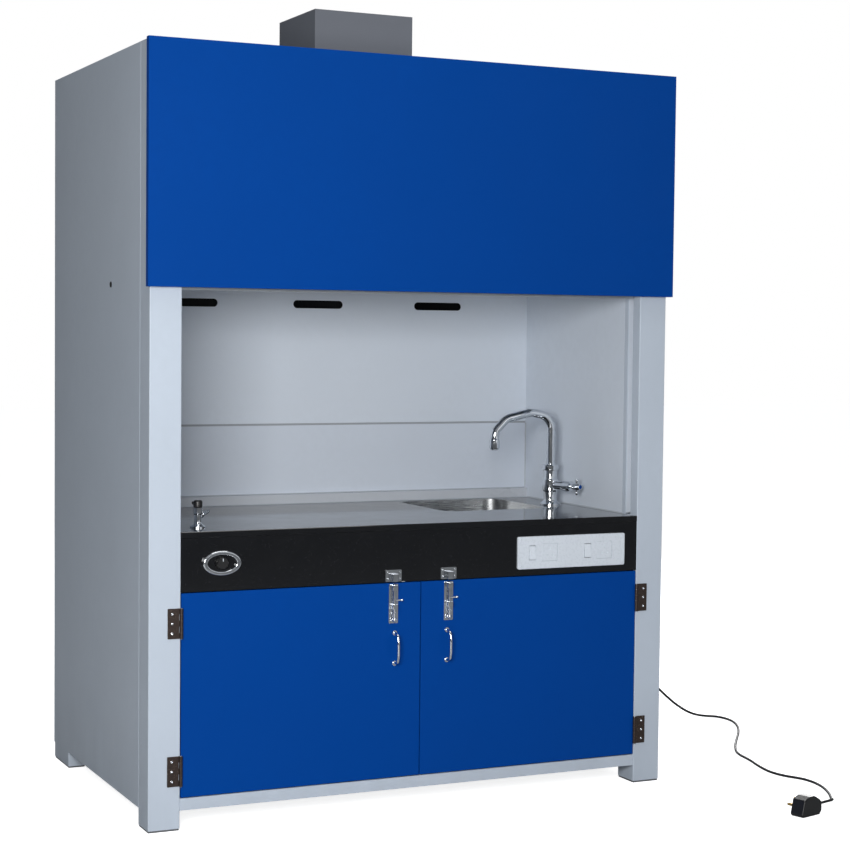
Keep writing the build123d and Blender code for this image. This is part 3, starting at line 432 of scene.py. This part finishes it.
MATERIALS = {
    "grey_paint": powder_coat("grey_paint", srgb(190, 200, 213), 0.42, low_darkening=0.25),
    "liner_paint": powder_coat("liner_paint", srgb(213, 221, 232), 0.40),
    "blue_paint": powder_coat("blue_paint", srgb(0, 64, 146), 0.40, shine=0.06),
    "duct_paint": powder_coat("duct_paint", srgb(104, 107, 114), 0.50, shine=0.2),
    "black_stone": black_stone("black_stone", 0.1),
    "stainless": brushed("stainless", srgb(190, 192, 194), 0.28, "x"),
    "chrome": plated("chrome", srgb(226, 229, 233), 0.07),
    "bronze": bronze(),
    "white_plastic": moulded("white_plastic", srgb(212, 219, 228), 0.28, 0.00001),
    "trap_plastic": moulded("trap_plastic", srgb(222, 222, 216), 0.45),
    "black_plastic": moulded("black_plastic", srgb(24, 24, 25), 0.35),
    "lead_pvc": moulded("lead_pvc", srgb(20, 20, 21), 0.45),
    "pad_rubber": moulded("pad_rubber", srgb(96, 98, 102), 0.7, 0.00008),
    "glass": clear_glass(),
    "aluminium": brushed("aluminium", srgb(196, 201, 206), 0.36, "z"),
    "cast_iron": cast_iron(),
    "wire_rope": plated("wire_rope", srgb(150, 151, 152), 0.30),
    "copper": copper(),
}
LAMP_TUBE = lamp_tube()
BRASS = plated("brass", srgb(205, 172, 104), 0.22)
# Painted shade: dark sheet for the back panel's inner face behind the baffles, where little light
# reaches
PLENUM_SHADE_SHEET = brushed("plenum_shade_sheet", srgb(58, 60, 64), 0.6, "z", 0.3)
UPSTAND = powder_coat("upstand", srgb(190, 195, 203), 0.3)
APRON = black_stone("apron_stone", 0.0)
JOINT_STRIP = powder_coat("joint_strip", srgb(158, 163, 170), 0.5)
# Painted shade: a slightly darker copy of the liner paint, for the shade on the lower baffle
LOWER_PANEL_SHADE = powder_coat("lower_panel_shade", srgb(208, 216, 228), 0.36, low_darkening=0.12)
SEALANT = moulded("sealant", srgb(176, 182, 190), 0.35)


# ---------------------------------------------------------------- mesh helpers
def linked(bm, name, material):
    """Turns a bmesh into an object of the scene, smooth with sharp corners kept."""
    mesh = bpy.data.meshes.new(name)
    bm.to_mesh(mesh)
    bm.free()
    mesh.materials.append(material)
    mesh.shade_smooth()
    mesh.set_sharp_from_angle(angle=SHARP)
    made = bpy.data.objects.new(name, mesh)
    bpy.context.scene.collection.objects.link(made)
    weights = made.modifiers.new("flat_faces", "WEIGHTED_NORMAL")
    weights.keep_sharp = True
    return made


def piece(bm, name, slot, body=FRAME_BODY, material=None):
    """A finished piece that rides on a body, or on none when no body is given."""
    made = linked(bm, name, material or MATERIALS[slot])
    if body:
        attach(made, body)
    return made


def soften(bm, radius, segments=2):
    """Merges a CAD mesh's triangles into faces and rounds its sharp edges."""
    bmesh.ops.remove_doubles(bm, verts=bm.verts, dist=WELD)
    flat = math.radians(0.5)
    bmesh.ops.dissolve_limit(bm, angle_limit=flat, verts=bm.verts, edges=bm.edges, delimit={"NORMAL"})
    corner = math.radians(40)
    sharp = [edge for edge in bm.edges if edge.is_manifold and edge.calc_face_angle(0) > corner]
    bmesh.ops.bevel(bm, geom=sharp, offset=radius, segments=segments, profile=0.5, affect="EDGES",
                    clamp_overlap=True)


def node_mesh(node):
    """A copy of the CAD node's mesh."""
    bm = bmesh.new()
    bm.from_mesh(NODES[node].data)
    return bm


def welded(node):
    """A copy of the CAD node's mesh whose solids hang together."""
    bm = node_mesh(node)
    bmesh.ops.remove_doubles(bm, verts=bm.verts, dist=WELD)
    return bm


def softened(node, radius, material=None, segments=2):
    """The CAD node's own shape with rounded edges, which stands for the node."""
    bm = node_mesh(node)
    soften(bm, radius, segments)
    made = piece(bm, node + "_finished", SUBPARTS[node], BODY_OF[node], material)
    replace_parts(made, node)
    return made


def islands(bm):
    """The separate solids of a mesh: each one's faces, lowest corner and highest corner."""
    for face in bm.faces:
        face.tag = False
    found = []
    for seed in bm.faces:
        if seed.tag:
            continue
        seed.tag = True
        faces = [seed]
        for face in faces:
            for other in (near for vert in face.verts for near in vert.link_faces):
                if not other.tag:
                    other.tag = True
                    faces.append(other)
        corners = [vert.co for face in faces for vert in face.verts]
        low = Vector(min(place[axis] for place in corners) for axis in range(3))
        high = Vector(max(place[axis] for place in corners) for axis in range(3))
        found.append((faces, low, high))
    return found


def split_node(node, kind_of, finishes, radius=EDGE):
    """Gives the loose solids of a node different finishes; kind_of(low, high) names a solid's kind."""
    whole = welded(node)
    whole.faces.index_update()
    kinds = {}
    for faces, low, high in islands(whole):
        kinds.update({face.index: kind_of(low, high) for face in faces})
    made = {}
    for kind, (slot, material) in finishes.items():
        bm = whole.copy()
        others = [face for face in bm.faces if kinds[face.index] != kind]
        bmesh.ops.delete(bm, geom=others, context="FACES")
        soften(bm, radius)
        made[kind] = piece(bm, node + "_" + kind, slot, BODY_OF[node], material)
        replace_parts(made[kind], node)
    whole.free()
    return made


def facing(place, outward, turn=0.0):
    """A local frame at a place, with its Z axis pointing outward."""
    tilt = Vector(outward).to_track_quat("Z", "Y").to_matrix().to_4x4()
    return Matrix.Translation(place) @ tilt @ Matrix.Rotation(turn, 4, "Z")


def ring(bm, local, radius, height, count, outline=None):
    """A closed row of points round a local Z axis; outline(angle) is the share of the radius reached."""
    row = []
    for step in range(count):
        angle = 2 * math.pi * step / count
        reach = radius * (outline(angle) if outline else 1)
        place = Vector((reach * math.cos(angle), reach * math.sin(angle), height))
        row.append(bm.verts.new(local @ place))
    return row


def join_rows(bm, rows):
    """Faces between neighbouring closed rows of points, and a face at each end."""
    for lower, upper in zip(rows, rows[1:]):
        for step in range(len(lower)):
            bm.faces.new((lower[step - 1], lower[step], upper[step], upper[step - 1]))
    bm.faces.new(rows[0][::-1])
    bm.faces.new(rows[-1])


def lathe(bm, local, profile, count=40):
    """A turned shape from (radius, height) points, in order from the foot up the outside."""
    join_rows(bm, [ring(bm, local, radius, height, count) for radius, height in profile])


# ---------------------------------------------------------------- screws
def cross_recess(angle):
    """Outline of a cross recess, as a share of its own radius: four arms round a narrow middle."""
    half_arm, middle = 0.25, 0.34
    away = abs((angle + math.pi / 4) % (math.pi / 2) - math.pi / 4)
    return 1.0 if away < half_arm else middle


def screw_head(bm, place, outward, radius, turn):
    """A domed head with a cross recess."""
    local = facing(place, outward, turn)
    height = radius * 0.5
    recess = radius * 0.56
    rows = [ring(bm, local, radius * share, height * level, 32)
            for share, level in ((1.0, 0.0), (1.0, 0.3), (0.92, 0.65), (0.74, 0.92))]
    rows += [ring(bm, local, recess, height * level, 32, cross_recess) for level in (1.0, 0.3)]
    join_rows(bm, rows)


def screws(name, places, outward, radius, body=FRAME_BODY, slot="chrome"):
    """A set of like screws; each is turned differently, as driven ones are."""
    turns = random.Random(name)
    bm = bmesh.new()
    for place in places:
        screw_head(bm, place, outward, radius, turns.uniform(0, math.pi / 2))
    return piece(bm, name, slot, body)


def evenly(start, end, count):
    """That many numbers from start to end, evenly spaced."""
    return [start + (end - start) * step / (count - 1) for step in range(count)]


def border(low, high, inset, across, up):
    """Places inside a rectangle's edge: two rows of `across`, then two columns without their ends."""
    sides, levels = ((low[axis] + inset, high[axis] - inset) for axis in (0, 1))
    rows = [(x, y) for y in levels for x in evenly(*sides, across)]
    return rows + [(x, y) for x in sides for y in evenly(*levels, up)[1:-1]]


def panel_screws():
    """Screws round the edges of the back panel and the roof, and on the duct's foot."""
    inset, duct_inset, duct_sheet = 14 * MM, 11 * MM, 1.5 * MM
    low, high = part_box("back_panel")
    places = [(x, high.y, z) for x, z in border(low.xz, high.xz, inset, 8, 9)]
    screws("back_screws", places, (0, 1, 0), 5 * MM)
    low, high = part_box("top_panel")
    places = [(x, y, high.z) for x, y in border(low.xy, high.xy, inset, 8, 5)]
    screws("roof_screws", places, (0, 0, 1), 5 * MM)
    low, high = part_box("duct_collar")
    places = [(x, y, low.z + duct_sheet) for x, y in border(low.xy, high.xy, duct_inset, 4, 4)]
    screws("duct_screws", places, (0, 0, 1), 4.5 * MM)


def fitting_screws():
    """Screws of the switch plate, the bolts and their keepers."""
    front, sheet, inset, small = (0, -1, 0), 2 * MM, 7 * MM, 2.6 * MM
    plate_inset, bolt_rows, keeper_foot = 10 * MM, (10 * MM, 33 * MM), 9 * MM
    low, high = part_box("switch_plate")
    places = [(x, low.y, z) for x in (low.x + plate_inset, high.x - plate_inset)
              for z in (low.z + plate_inset, high.z - plate_inset)]
    screws("plate_screws", places, front, 3.4 * MM, slot="white_plastic")
    for side in ("left", "right"):
        low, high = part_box("bolt_base_" + side)
        places = [(x, high.y - sheet, low.z + up) for x in (low.x + inset, high.x - inset)
                  for up in bolt_rows]
        screws("bolt_screws_" + side, places, front, small, BODY_OF["bolt_base_" + side])
    whole = welded("bolt_keepers")
    places = [(x, high.y - sheet, z) for _, low, high in islands(whole)
              for x in (low.x + inset, high.x - inset) for z in (low.z + keeper_foot, high.z - inset)]
    whole.free()
    screws("keeper_screws", places, front, small)


def hinges():
    """Column leaves, their pins and bright screws, told apart by their width."""
    widest_pin, widest_screw = 7 * MM, 9 * MM

    def kind_of(low, high):
        width = high.x - low.x
        return "pins" if width < widest_pin else "screws" if width < widest_screw else "leaves"

    whole = welded("column_hinges")
    places = [((low.x + high.x) / 2, high.y, (low.z + high.z) / 2)
              for _, low, high in islands(whole) if kind_of(low, high) == "screws"]
    whole.free()
    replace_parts(screws("hinge_screws", places, (0, -1, 0), 4.2 * MM), "column_hinges")
    finishes = {"leaves": ("bronze", None), "pins": ("chrome", None)}
    split_node("column_hinges", kind_of, finishes, 0.6 * MM)


# ---------------------------------------------------------------- sash ropes
ROPE_RADIUS = 2 * MM
STRANDS = 6
ROPE_LAY = 24 * MM                              # one full turn of a strand
ROPE_STEP = 4 * MM
FERRULE = ((3.2 * MM, 0), (4 * MM, 1 * MM), (4 * MM, 8 * MM), (3.4 * MM, 10 * MM),
           (4 * MM, 12 * MM), (4 * MM, 19 * MM), (2.6 * MM, 21 * MM))


def wire_rope(name, path, body=None):
    """Laid wire rope along a path in a plane of constant X."""
    bm = bmesh.new()
    strand_radius = ROPE_RADIUS * 0.36
    reach = ROPE_RADIUS - strand_radius
    across = Vector((1, 0, 0))
    for strand in range(STRANDS):
        run = 0.0
        rows = []
        for step, place in enumerate(path):
            if step:
                run += (place - path[step - 1]).length
            ahead = (path[min(step + 1, len(path) - 1)] - path[max(step - 1, 0)]).normalized()
            side = ahead.cross(across)
            angle = 2 * math.pi * (run / ROPE_LAY + strand / STRANDS)
            middle = place + reach * (across * math.cos(angle) + side * math.sin(angle))
            rows.append(ring(bm, facing(middle, ahead), strand_radius, 0, 6))
        join_rows(bm, rows)
    return piece(bm, name, "wire_rope", body)


def straight_path(start, end):
    """Points on the way from start to end."""
    count = max(2, round((end - start).length / ROPE_STEP))
    return [start.lerp(end, i / count) for i in range(count + 1)]


def sleeve(name, foot, body):
    """Crimped ferrule at the end of a rope."""
    bm = bmesh.new()
    lathe(bm, Matrix.Translation(foot), FERRULE, 24)
    piece(bm, name, "aluminium", body)


def balance_ropes():
    """Front span, half turn and rear span of each rope; the spans ride on no body."""
    front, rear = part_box("rope_front_spans"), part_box("rope_rear_spans")
    for side, x in (("left", front[0].x + ROPE_RADIUS), ("right", front[1].x - ROPE_RADIUS)):
        weight = "counterweight_" + side
        lug = Vector((x, (front[0].y + front[1].y) / 2, front[0].z))
        top = Vector((x, lug.y, front[1].z))
        weight_top = Vector((x, (rear[0].y + rear[1].y) / 2, rear[0].z))
        rear_top = Vector((x, weight_top.y, top.z))
        span = wire_rope("rope_front_" + side, straight_path(lug, top))
        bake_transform(span)
        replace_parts(span, "rope_front_spans")
        span = wire_rope("rope_rear_" + side, straight_path(weight_top, rear_top))
        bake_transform(span)
        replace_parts(span, "rope_rear_spans")
        middle = (top + rear_top) / 2
        reach = (rear_top.y - top.y) / 2
        bend = [middle + reach * Vector((0, -math.cos(angle), math.sin(angle)))
                for angle in evenly(0, math.pi, 33)]
        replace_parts(wire_rope("rope_bend_" + side, bend, FRAME_BODY), "rope_over_pulleys")
        sleeve("rope_end_front_" + side, lug, BODY_OF["sash_frame"])
        sleeve("rope_end_rear_" + side, weight_top, BODY_OF[weight])


# ---------------------------------------------------------------- small fittings
CAP_BEHIND_FRONT, CAP_HEIGHT = 0.417, 1.658
CAP = ((9.5 * MM, 0), (9.5 * MM, 1 * MM), (8.6 * MM, 2 * MM), (6 * MM, 2.6 * MM), (5.4 * MM, 2.2 * MM))
OUTLET_RADIUS = 12.5 * MM
OUTLET = ((14.5 * MM, 0), (14.5 * MM, 3 * MM), (14 * MM, 4 * MM), (OUTLET_RADIUS, 4 * MM),
          (OUTLET_RADIUS, 2 * MM))
INDEX_DISC = ((7.5 * MM, 0), (7.5 * MM, 0.5 * MM), (6.4 * MM, 1 * MM), (3 * MM, 1.3 * MM))
BEAD = 3.5 * MM
UPSTAND_DEPTH = 18 * MM


def panel_cap():
    """Round plastic cap that closes a hole high up in the left side panel."""
    place = (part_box("side_panel_left")[0].x, FRONT + CAP_BEHIND_FRONT, CAP_HEIGHT)
    bm = bmesh.new()
    lathe(bm, facing(place, (-1, 0, 0)), CAP)
    piece(bm, "panel_cap", "black_plastic")


def knob_pointer():
    """Pale raised mark on the control knob's face: a bar four times as long as it is wide."""
    half_width, above_middle, nearly_none = 1.1 * MM, 10.5 * MM, 1e-6
    low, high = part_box("control_knob")
    middle = (low + high) / 2
    local = facing((middle.x, low.y, middle.z + above_middle), (0, -1, 0))
    bm = bmesh.new()

    def bar(angle):
        return min(1 / max(abs(math.cos(angle)), nearly_none),
                   4 / max(abs(math.sin(angle)), nearly_none))

    join_rows(bm, [ring(bm, local, half_width * share, height, 32, bar)
                   for share, height in ((1, 0), (1, 0.4 * MM), (0.8, 0.7 * MM))])
    piece(bm, "knob_pointer", "white_plastic", BODY_OF["control_knob"])


def aerator():
    """Outlet ring with a coarse mesh of wires across it, under the spout's nozzle."""
    nozzle_radius, nozzle_side, wire, spread = 18 * MM, 30 * MM, 0.5 * MM, 9 * MM
    mesh_radius, mesh_depth = OUTLET_RADIUS - 0.1 * MM, 2.8 * MM
    low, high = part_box("tap_spout")
    nozzle = [vert.co.z for vert in NODES["tap_spout"].data.vertices
              if vert.co.x < low.x + nozzle_side]
    middle = Vector((low.x + nozzle_radius, (low.y + high.y) / 2, min(nozzle)))
    bm = bmesh.new()
    lathe(bm, facing(middle, (0, 0, -1)), OUTLET)
    for angle in (0, math.pi / 2):
        for shift in evenly(-spread, spread, 5):
            half = math.sqrt(mesh_radius ** 2 - shift ** 2)
            along = Vector((math.cos(angle), math.sin(angle), 0))
            side = Vector((-along.y, along.x, 0))
            start = middle + side * shift - along * half - Vector((0, 0, mesh_depth))
            lathe(bm, facing(start, along), ((wire, 0), (wire, 2 * half)), 8)
    piece(bm, "aerator", "chrome", BODY_OF["tap_spout"])


def tap_index():
    """Blue enamel disc on the end of the tap handle's hub, out along the joint's axis."""
    joint = JOINTS["tap_handle_turn"]
    axis = Vector(joint["axis"])
    anchor = Vector(joint["pos_m"])

    def reach(direction):
        return max((vert.co - anchor).dot(direction) for vert in NODES["tap_handle"].data.vertices)

    outward = max((axis, -axis), key=reach)
    bm = bmesh.new()
    lathe(bm, facing(anchor + outward * reach(outward), outward), INDEX_DISC, 32)
    piece(bm, "tap_index", "blue_paint", BODY_OF["tap_handle"])


def bead(name, start, end, first, second):
    """Sealant smoothed into the corner between two faces, hollow in section."""
    start, end, first, second = (Vector(v) for v in (start, end, first, second))
    step_length = 50 * MM
    hollow = (first + second) * BEAD
    section = [Vector((0, 0, 0))]
    for angle in evenly(0, math.pi / 2, 6):
        section.append(hollow - BEAD * (first * math.sin(angle) + second * math.cos(angle)))
    bm = bmesh.new()
    count = max(2, round((end - start).length / step_length))
    rows = [[bm.verts.new(start.lerp(end, step / count) + place) for place in section]
            for step in range(count + 1)]
    join_rows(bm, rows)
    bmesh.ops.recalc_face_normals(bm, faces=bm.faces)
    piece(bm, name, "liner_paint", material=SEALANT)


def sealant():
    """Beads where the worktop meets the liners, and where its upstand meets the baffle."""
    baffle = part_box("lower_baffle")[0].y
    upstand = baffle - UPSTAND_DEPTH
    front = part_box("side_liners")[0].y
    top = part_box("worktop")[1].z
    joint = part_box("lower_baffle")[1].z
    up, forward = (0, 0, 1), (0, -1, 0)
    for side, x, inward in (("left", -CHAMBER, (1, 0, 0)), ("right", CHAMBER, (-1, 0, 0))):
        bead("bead_" + side, (x, front, BENCH), (x, upstand, BENCH), up, inward)
        bead("bead_corner_" + side, (x, baffle, top), (x, baffle, joint), forward, inward)
    bead("bead_upstand", (-CHAMBER, baffle, top), (CHAMBER, baffle, top), up, forward)
    bead("bead_foot", (-CHAMBER, upstand, BENCH), (CHAMBER, upstand, BENCH), up, forward)


# ---------------------------------------------------------------- mains lead
LEAD_RADIUS = 4.5 * MM
PLUG_TURN = math.radians(16)                    # of the plug on the floor, away from +X
PLUG_APPROACH = 0.068                           # straight run into the plug
BOOT_LENGTH, BOOT_RIB, BOOT_PLAIN = 45 * MM, 5 * MM, 12 * MM


def lead_points():
    """The route of the CAD part's lead, in metres."""
    out, front, floor = RIGHT, FRONT, LEAD_RADIUS
    entry = (out + 0.254, front - 0.565, 0.027)
    approach = (entry[0] + PLUG_APPROACH * math.cos(PLUG_TURN),
                entry[1] + PLUG_APPROACH * math.sin(PLUG_TURN), entry[2])
    return [
        (out + 0.028, front + 0.700, 0.435),
        (out + 0.105, front + 0.700, 0.435),
        (out + 0.190, front + 0.726, 0.412),
        (out + 0.269, front + 0.755, 0.356),
        (out + 0.343, front + 0.771, 0.288),
        (out + 0.421, front + 0.787, 0.208),
        (out + 0.505, front + 0.804, 0.139),
        (out + 0.588, front + 0.822, 0.073),
        (out + 0.671, front + 0.839, 0.025),
        (out + 0.741, front + 0.853, floor + 0.001),
        (out + 0.796, front + 0.826, floor),
        (out + 0.806, front + 0.742, floor),
        (out + 0.766, front + 0.640, floor),
        (out + 0.697, front + 0.535, floor),
        (out + 0.618, front + 0.434, floor),
        (out + 0.541, front + 0.332, floor),
        (out + 0.479, front + 0.231, floor),
        (out + 0.464, front + 0.130, floor),
        (out + 0.436, front + 0.037, floor),
        (out + 0.417, front - 0.055, floor),
        (out + 0.428, front - 0.130, floor),
        (out + 0.468, front - 0.196, floor),
        (out + 0.462, front - 0.290, floor),
        (out + 0.424, front - 0.385, floor),
        (out + 0.372, front - 0.466, floor + 0.002),
        approach,
        entry,
    ]


def centre_line(curve):
    """Points along a curve object's own spline."""
    bare = curve.copy()
    bare.data = curve.data.copy()
    bare.data.bevel_depth = 0
    bpy.context.scene.collection.objects.link(bare)
    bpy.context.view_layer.update()
    solved = bare.evaluated_get(bpy.context.evaluated_depsgraph_get())
    mesh = bpy.data.meshes.new_from_object(solved)
    places = [vert.co.copy() for vert in mesh.vertices]
    bpy.data.meshes.remove(mesh)
    bpy.data.objects.remove(bare)
    return places


def lead_boot(lead):
    """Tapered, ribbed strain relief that follows the start of the lead."""
    places = centre_line(lead)
    widest, narrowing, groove, steps = 8.6 * MM, 3.0 * MM, 0.8 * MM, 6
    bm = bmesh.new()
    rows = []
    run = 0.0
    for place, ahead in zip(places, places[1:]):
        direction = (ahead - place).normalized()
        gap = (ahead - place).length
        for part in range(steps):
            along = run + gap * part / steps
            if along > BOOT_LENGTH:
                break
            in_groove = along > BOOT_PLAIN and along % BOOT_RIB < BOOT_RIB * 0.36
            radius = widest - narrowing * along / BOOT_LENGTH - (groove if in_groove else 0.0)
            rows.append(ring(bm, facing(place.lerp(ahead, part / steps), direction), radius, 0, 32))
        run += gap
        if run > BOOT_LENGTH:
            break
    join_rows(bm, rows)
    bmesh.ops.recalc_face_normals(bm, faces=bm.faces)
    return piece(bm, "lead_boot", "black_plastic")


def make_lead():
    """The lead as one smooth round curve."""
    points = lead_points()
    curve = bpy.data.curves.new("lead", "CURVE")
    curve.dimensions = "3D"
    curve.bevel_depth = LEAD_RADIUS
    curve.bevel_resolution = 5
    curve.resolution_u = 10
    curve.use_fill_caps = True
    spline = curve.splines.new("NURBS")
    spline.points.add(len(points) - 1)
    for control, place in zip(spline.points, points):
        control.co = (*place, 1)
    spline.order_u = 3
    spline.use_endpoint_u = True
    curve.materials.append(MATERIALS["lead_pvc"])
    lead = bpy.data.objects.new("lead", curve)
    bpy.context.scene.collection.objects.link(lead)
    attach(lead, FRAME_BODY)
    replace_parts(lead, "cord")
    return lead


# ---------------------------------------------------------------- behind the baffles
def slab(bm, low, high):
    """A box with its edges rounded a little."""
    made = bmesh.ops.create_cube(bm, size=1)
    middle = (Vector(low) + Vector(high)) / 2
    size = Vector(high) - Vector(low)
    for vert in made["verts"]:
        vert.co = middle + Vector(a * b for a, b in zip(vert.co, size))
    edges = list({edge for vert in made["verts"] for edge in vert.link_edges})
    bmesh.ops.bevel(bm, geom=edges, offset=min(size) * 0.2, segments=2, profile=0.5, affect="EDGES")


def joint_strip():
    """Backing strip behind the joint between the two baffles."""
    lap, sheet, reach = 14 * MM, 1.5 * MM, CHAMBER - 2 * MM
    lower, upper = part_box("lower_baffle"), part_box("upper_baffle")
    bm = bmesh.new()
    slab(bm, (-reach, lower[1].y, lower[1].z - lap), (reach, lower[1].y + sheet, upper[0].z + lap))
    piece(bm, "baffle_joint_strip", "liner_paint", material=JOINT_STRIP)


def plenum_panel():
    """The back panel, painted outside and in the cupboard; behind the baffles its inner face is a dark
    sheet, painted shade for the dim plenum.
    """
    panel = softened("back_panel", 0.5 * MM)
    panel.data.materials.append(PLENUM_SHADE_SHEET)
    bm = bmesh.new()
    bm.from_mesh(panel.data)
    bmesh.ops.bisect_plane(bm, geom=bm.verts[:] + bm.edges[:] + bm.faces[:],
                           plane_co=(0, 0, BENCH), plane_no=(0, 0, 1))
    for face in bm.faces:
        if face.normal.y < -0.5 and face.calc_center_median().z > BENCH:
            face.material_index = 1
    bm.to_mesh(panel.data)
    bm.free()


# ---------------------------------------------------------------- the whole hood
def split_nodes():
    """Nodes whose solids differ in finish, which their places and sizes tell apart."""
    widest_tube, widest_pin = 30 * MM, 30 * MM
    split_node("worktop", lambda low, high: "slab" if low.z < BENCH - 1 * MM else "upstand",
               {"slab": ("black_stone", None), "upstand": ("liner_paint", UPSTAND)})
    split_node("light_fitting", lambda low, high: "tube" if high.y - low.y < widest_tube else "housing",
               {"housing": (SUBPARTS["light_fitting"], None), "tube": ("white_plastic", LAMP_TUBE)})
    return split_node("plug", lambda low, high: "body" if high.x - low.x > widest_pin else "pins",
                      {"body": ("black_plastic", None), "pins": ("copper", BRASS)})


def finish_nodes():
    """Every other node keeps its shape and gets rounded edges."""
    done = {name for obj in bpy.data.objects for name in obj.get("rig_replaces", [])}
    for node in SUBPARTS:
        if node not in done:
            softened(node, EDGE)


make_camera()
lead = make_lead()
plug = split_nodes()
gland = softened("cable_gland", 0.6 * MM)
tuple(lead_points()[0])
lead_boot(lead)
hinges()
balance_ropes()
panel_screws()
fitting_screws()
panel_cap()
knob_pointer()
aerator()
tap_index()
sealant()
joint_strip()
plenum_panel()
softened("control_bezel", 3.5 * MM, segments=5)
softened("apron", EDGE, APRON)
# the lower baffle takes the darker liner copy, which is painted shade
softened("lower_baffle", EDGE, LOWER_PANEL_SHADE)
finish_nodes()
make_studio()
bpy.context.scene.view_settings.view_transform = "Standard"
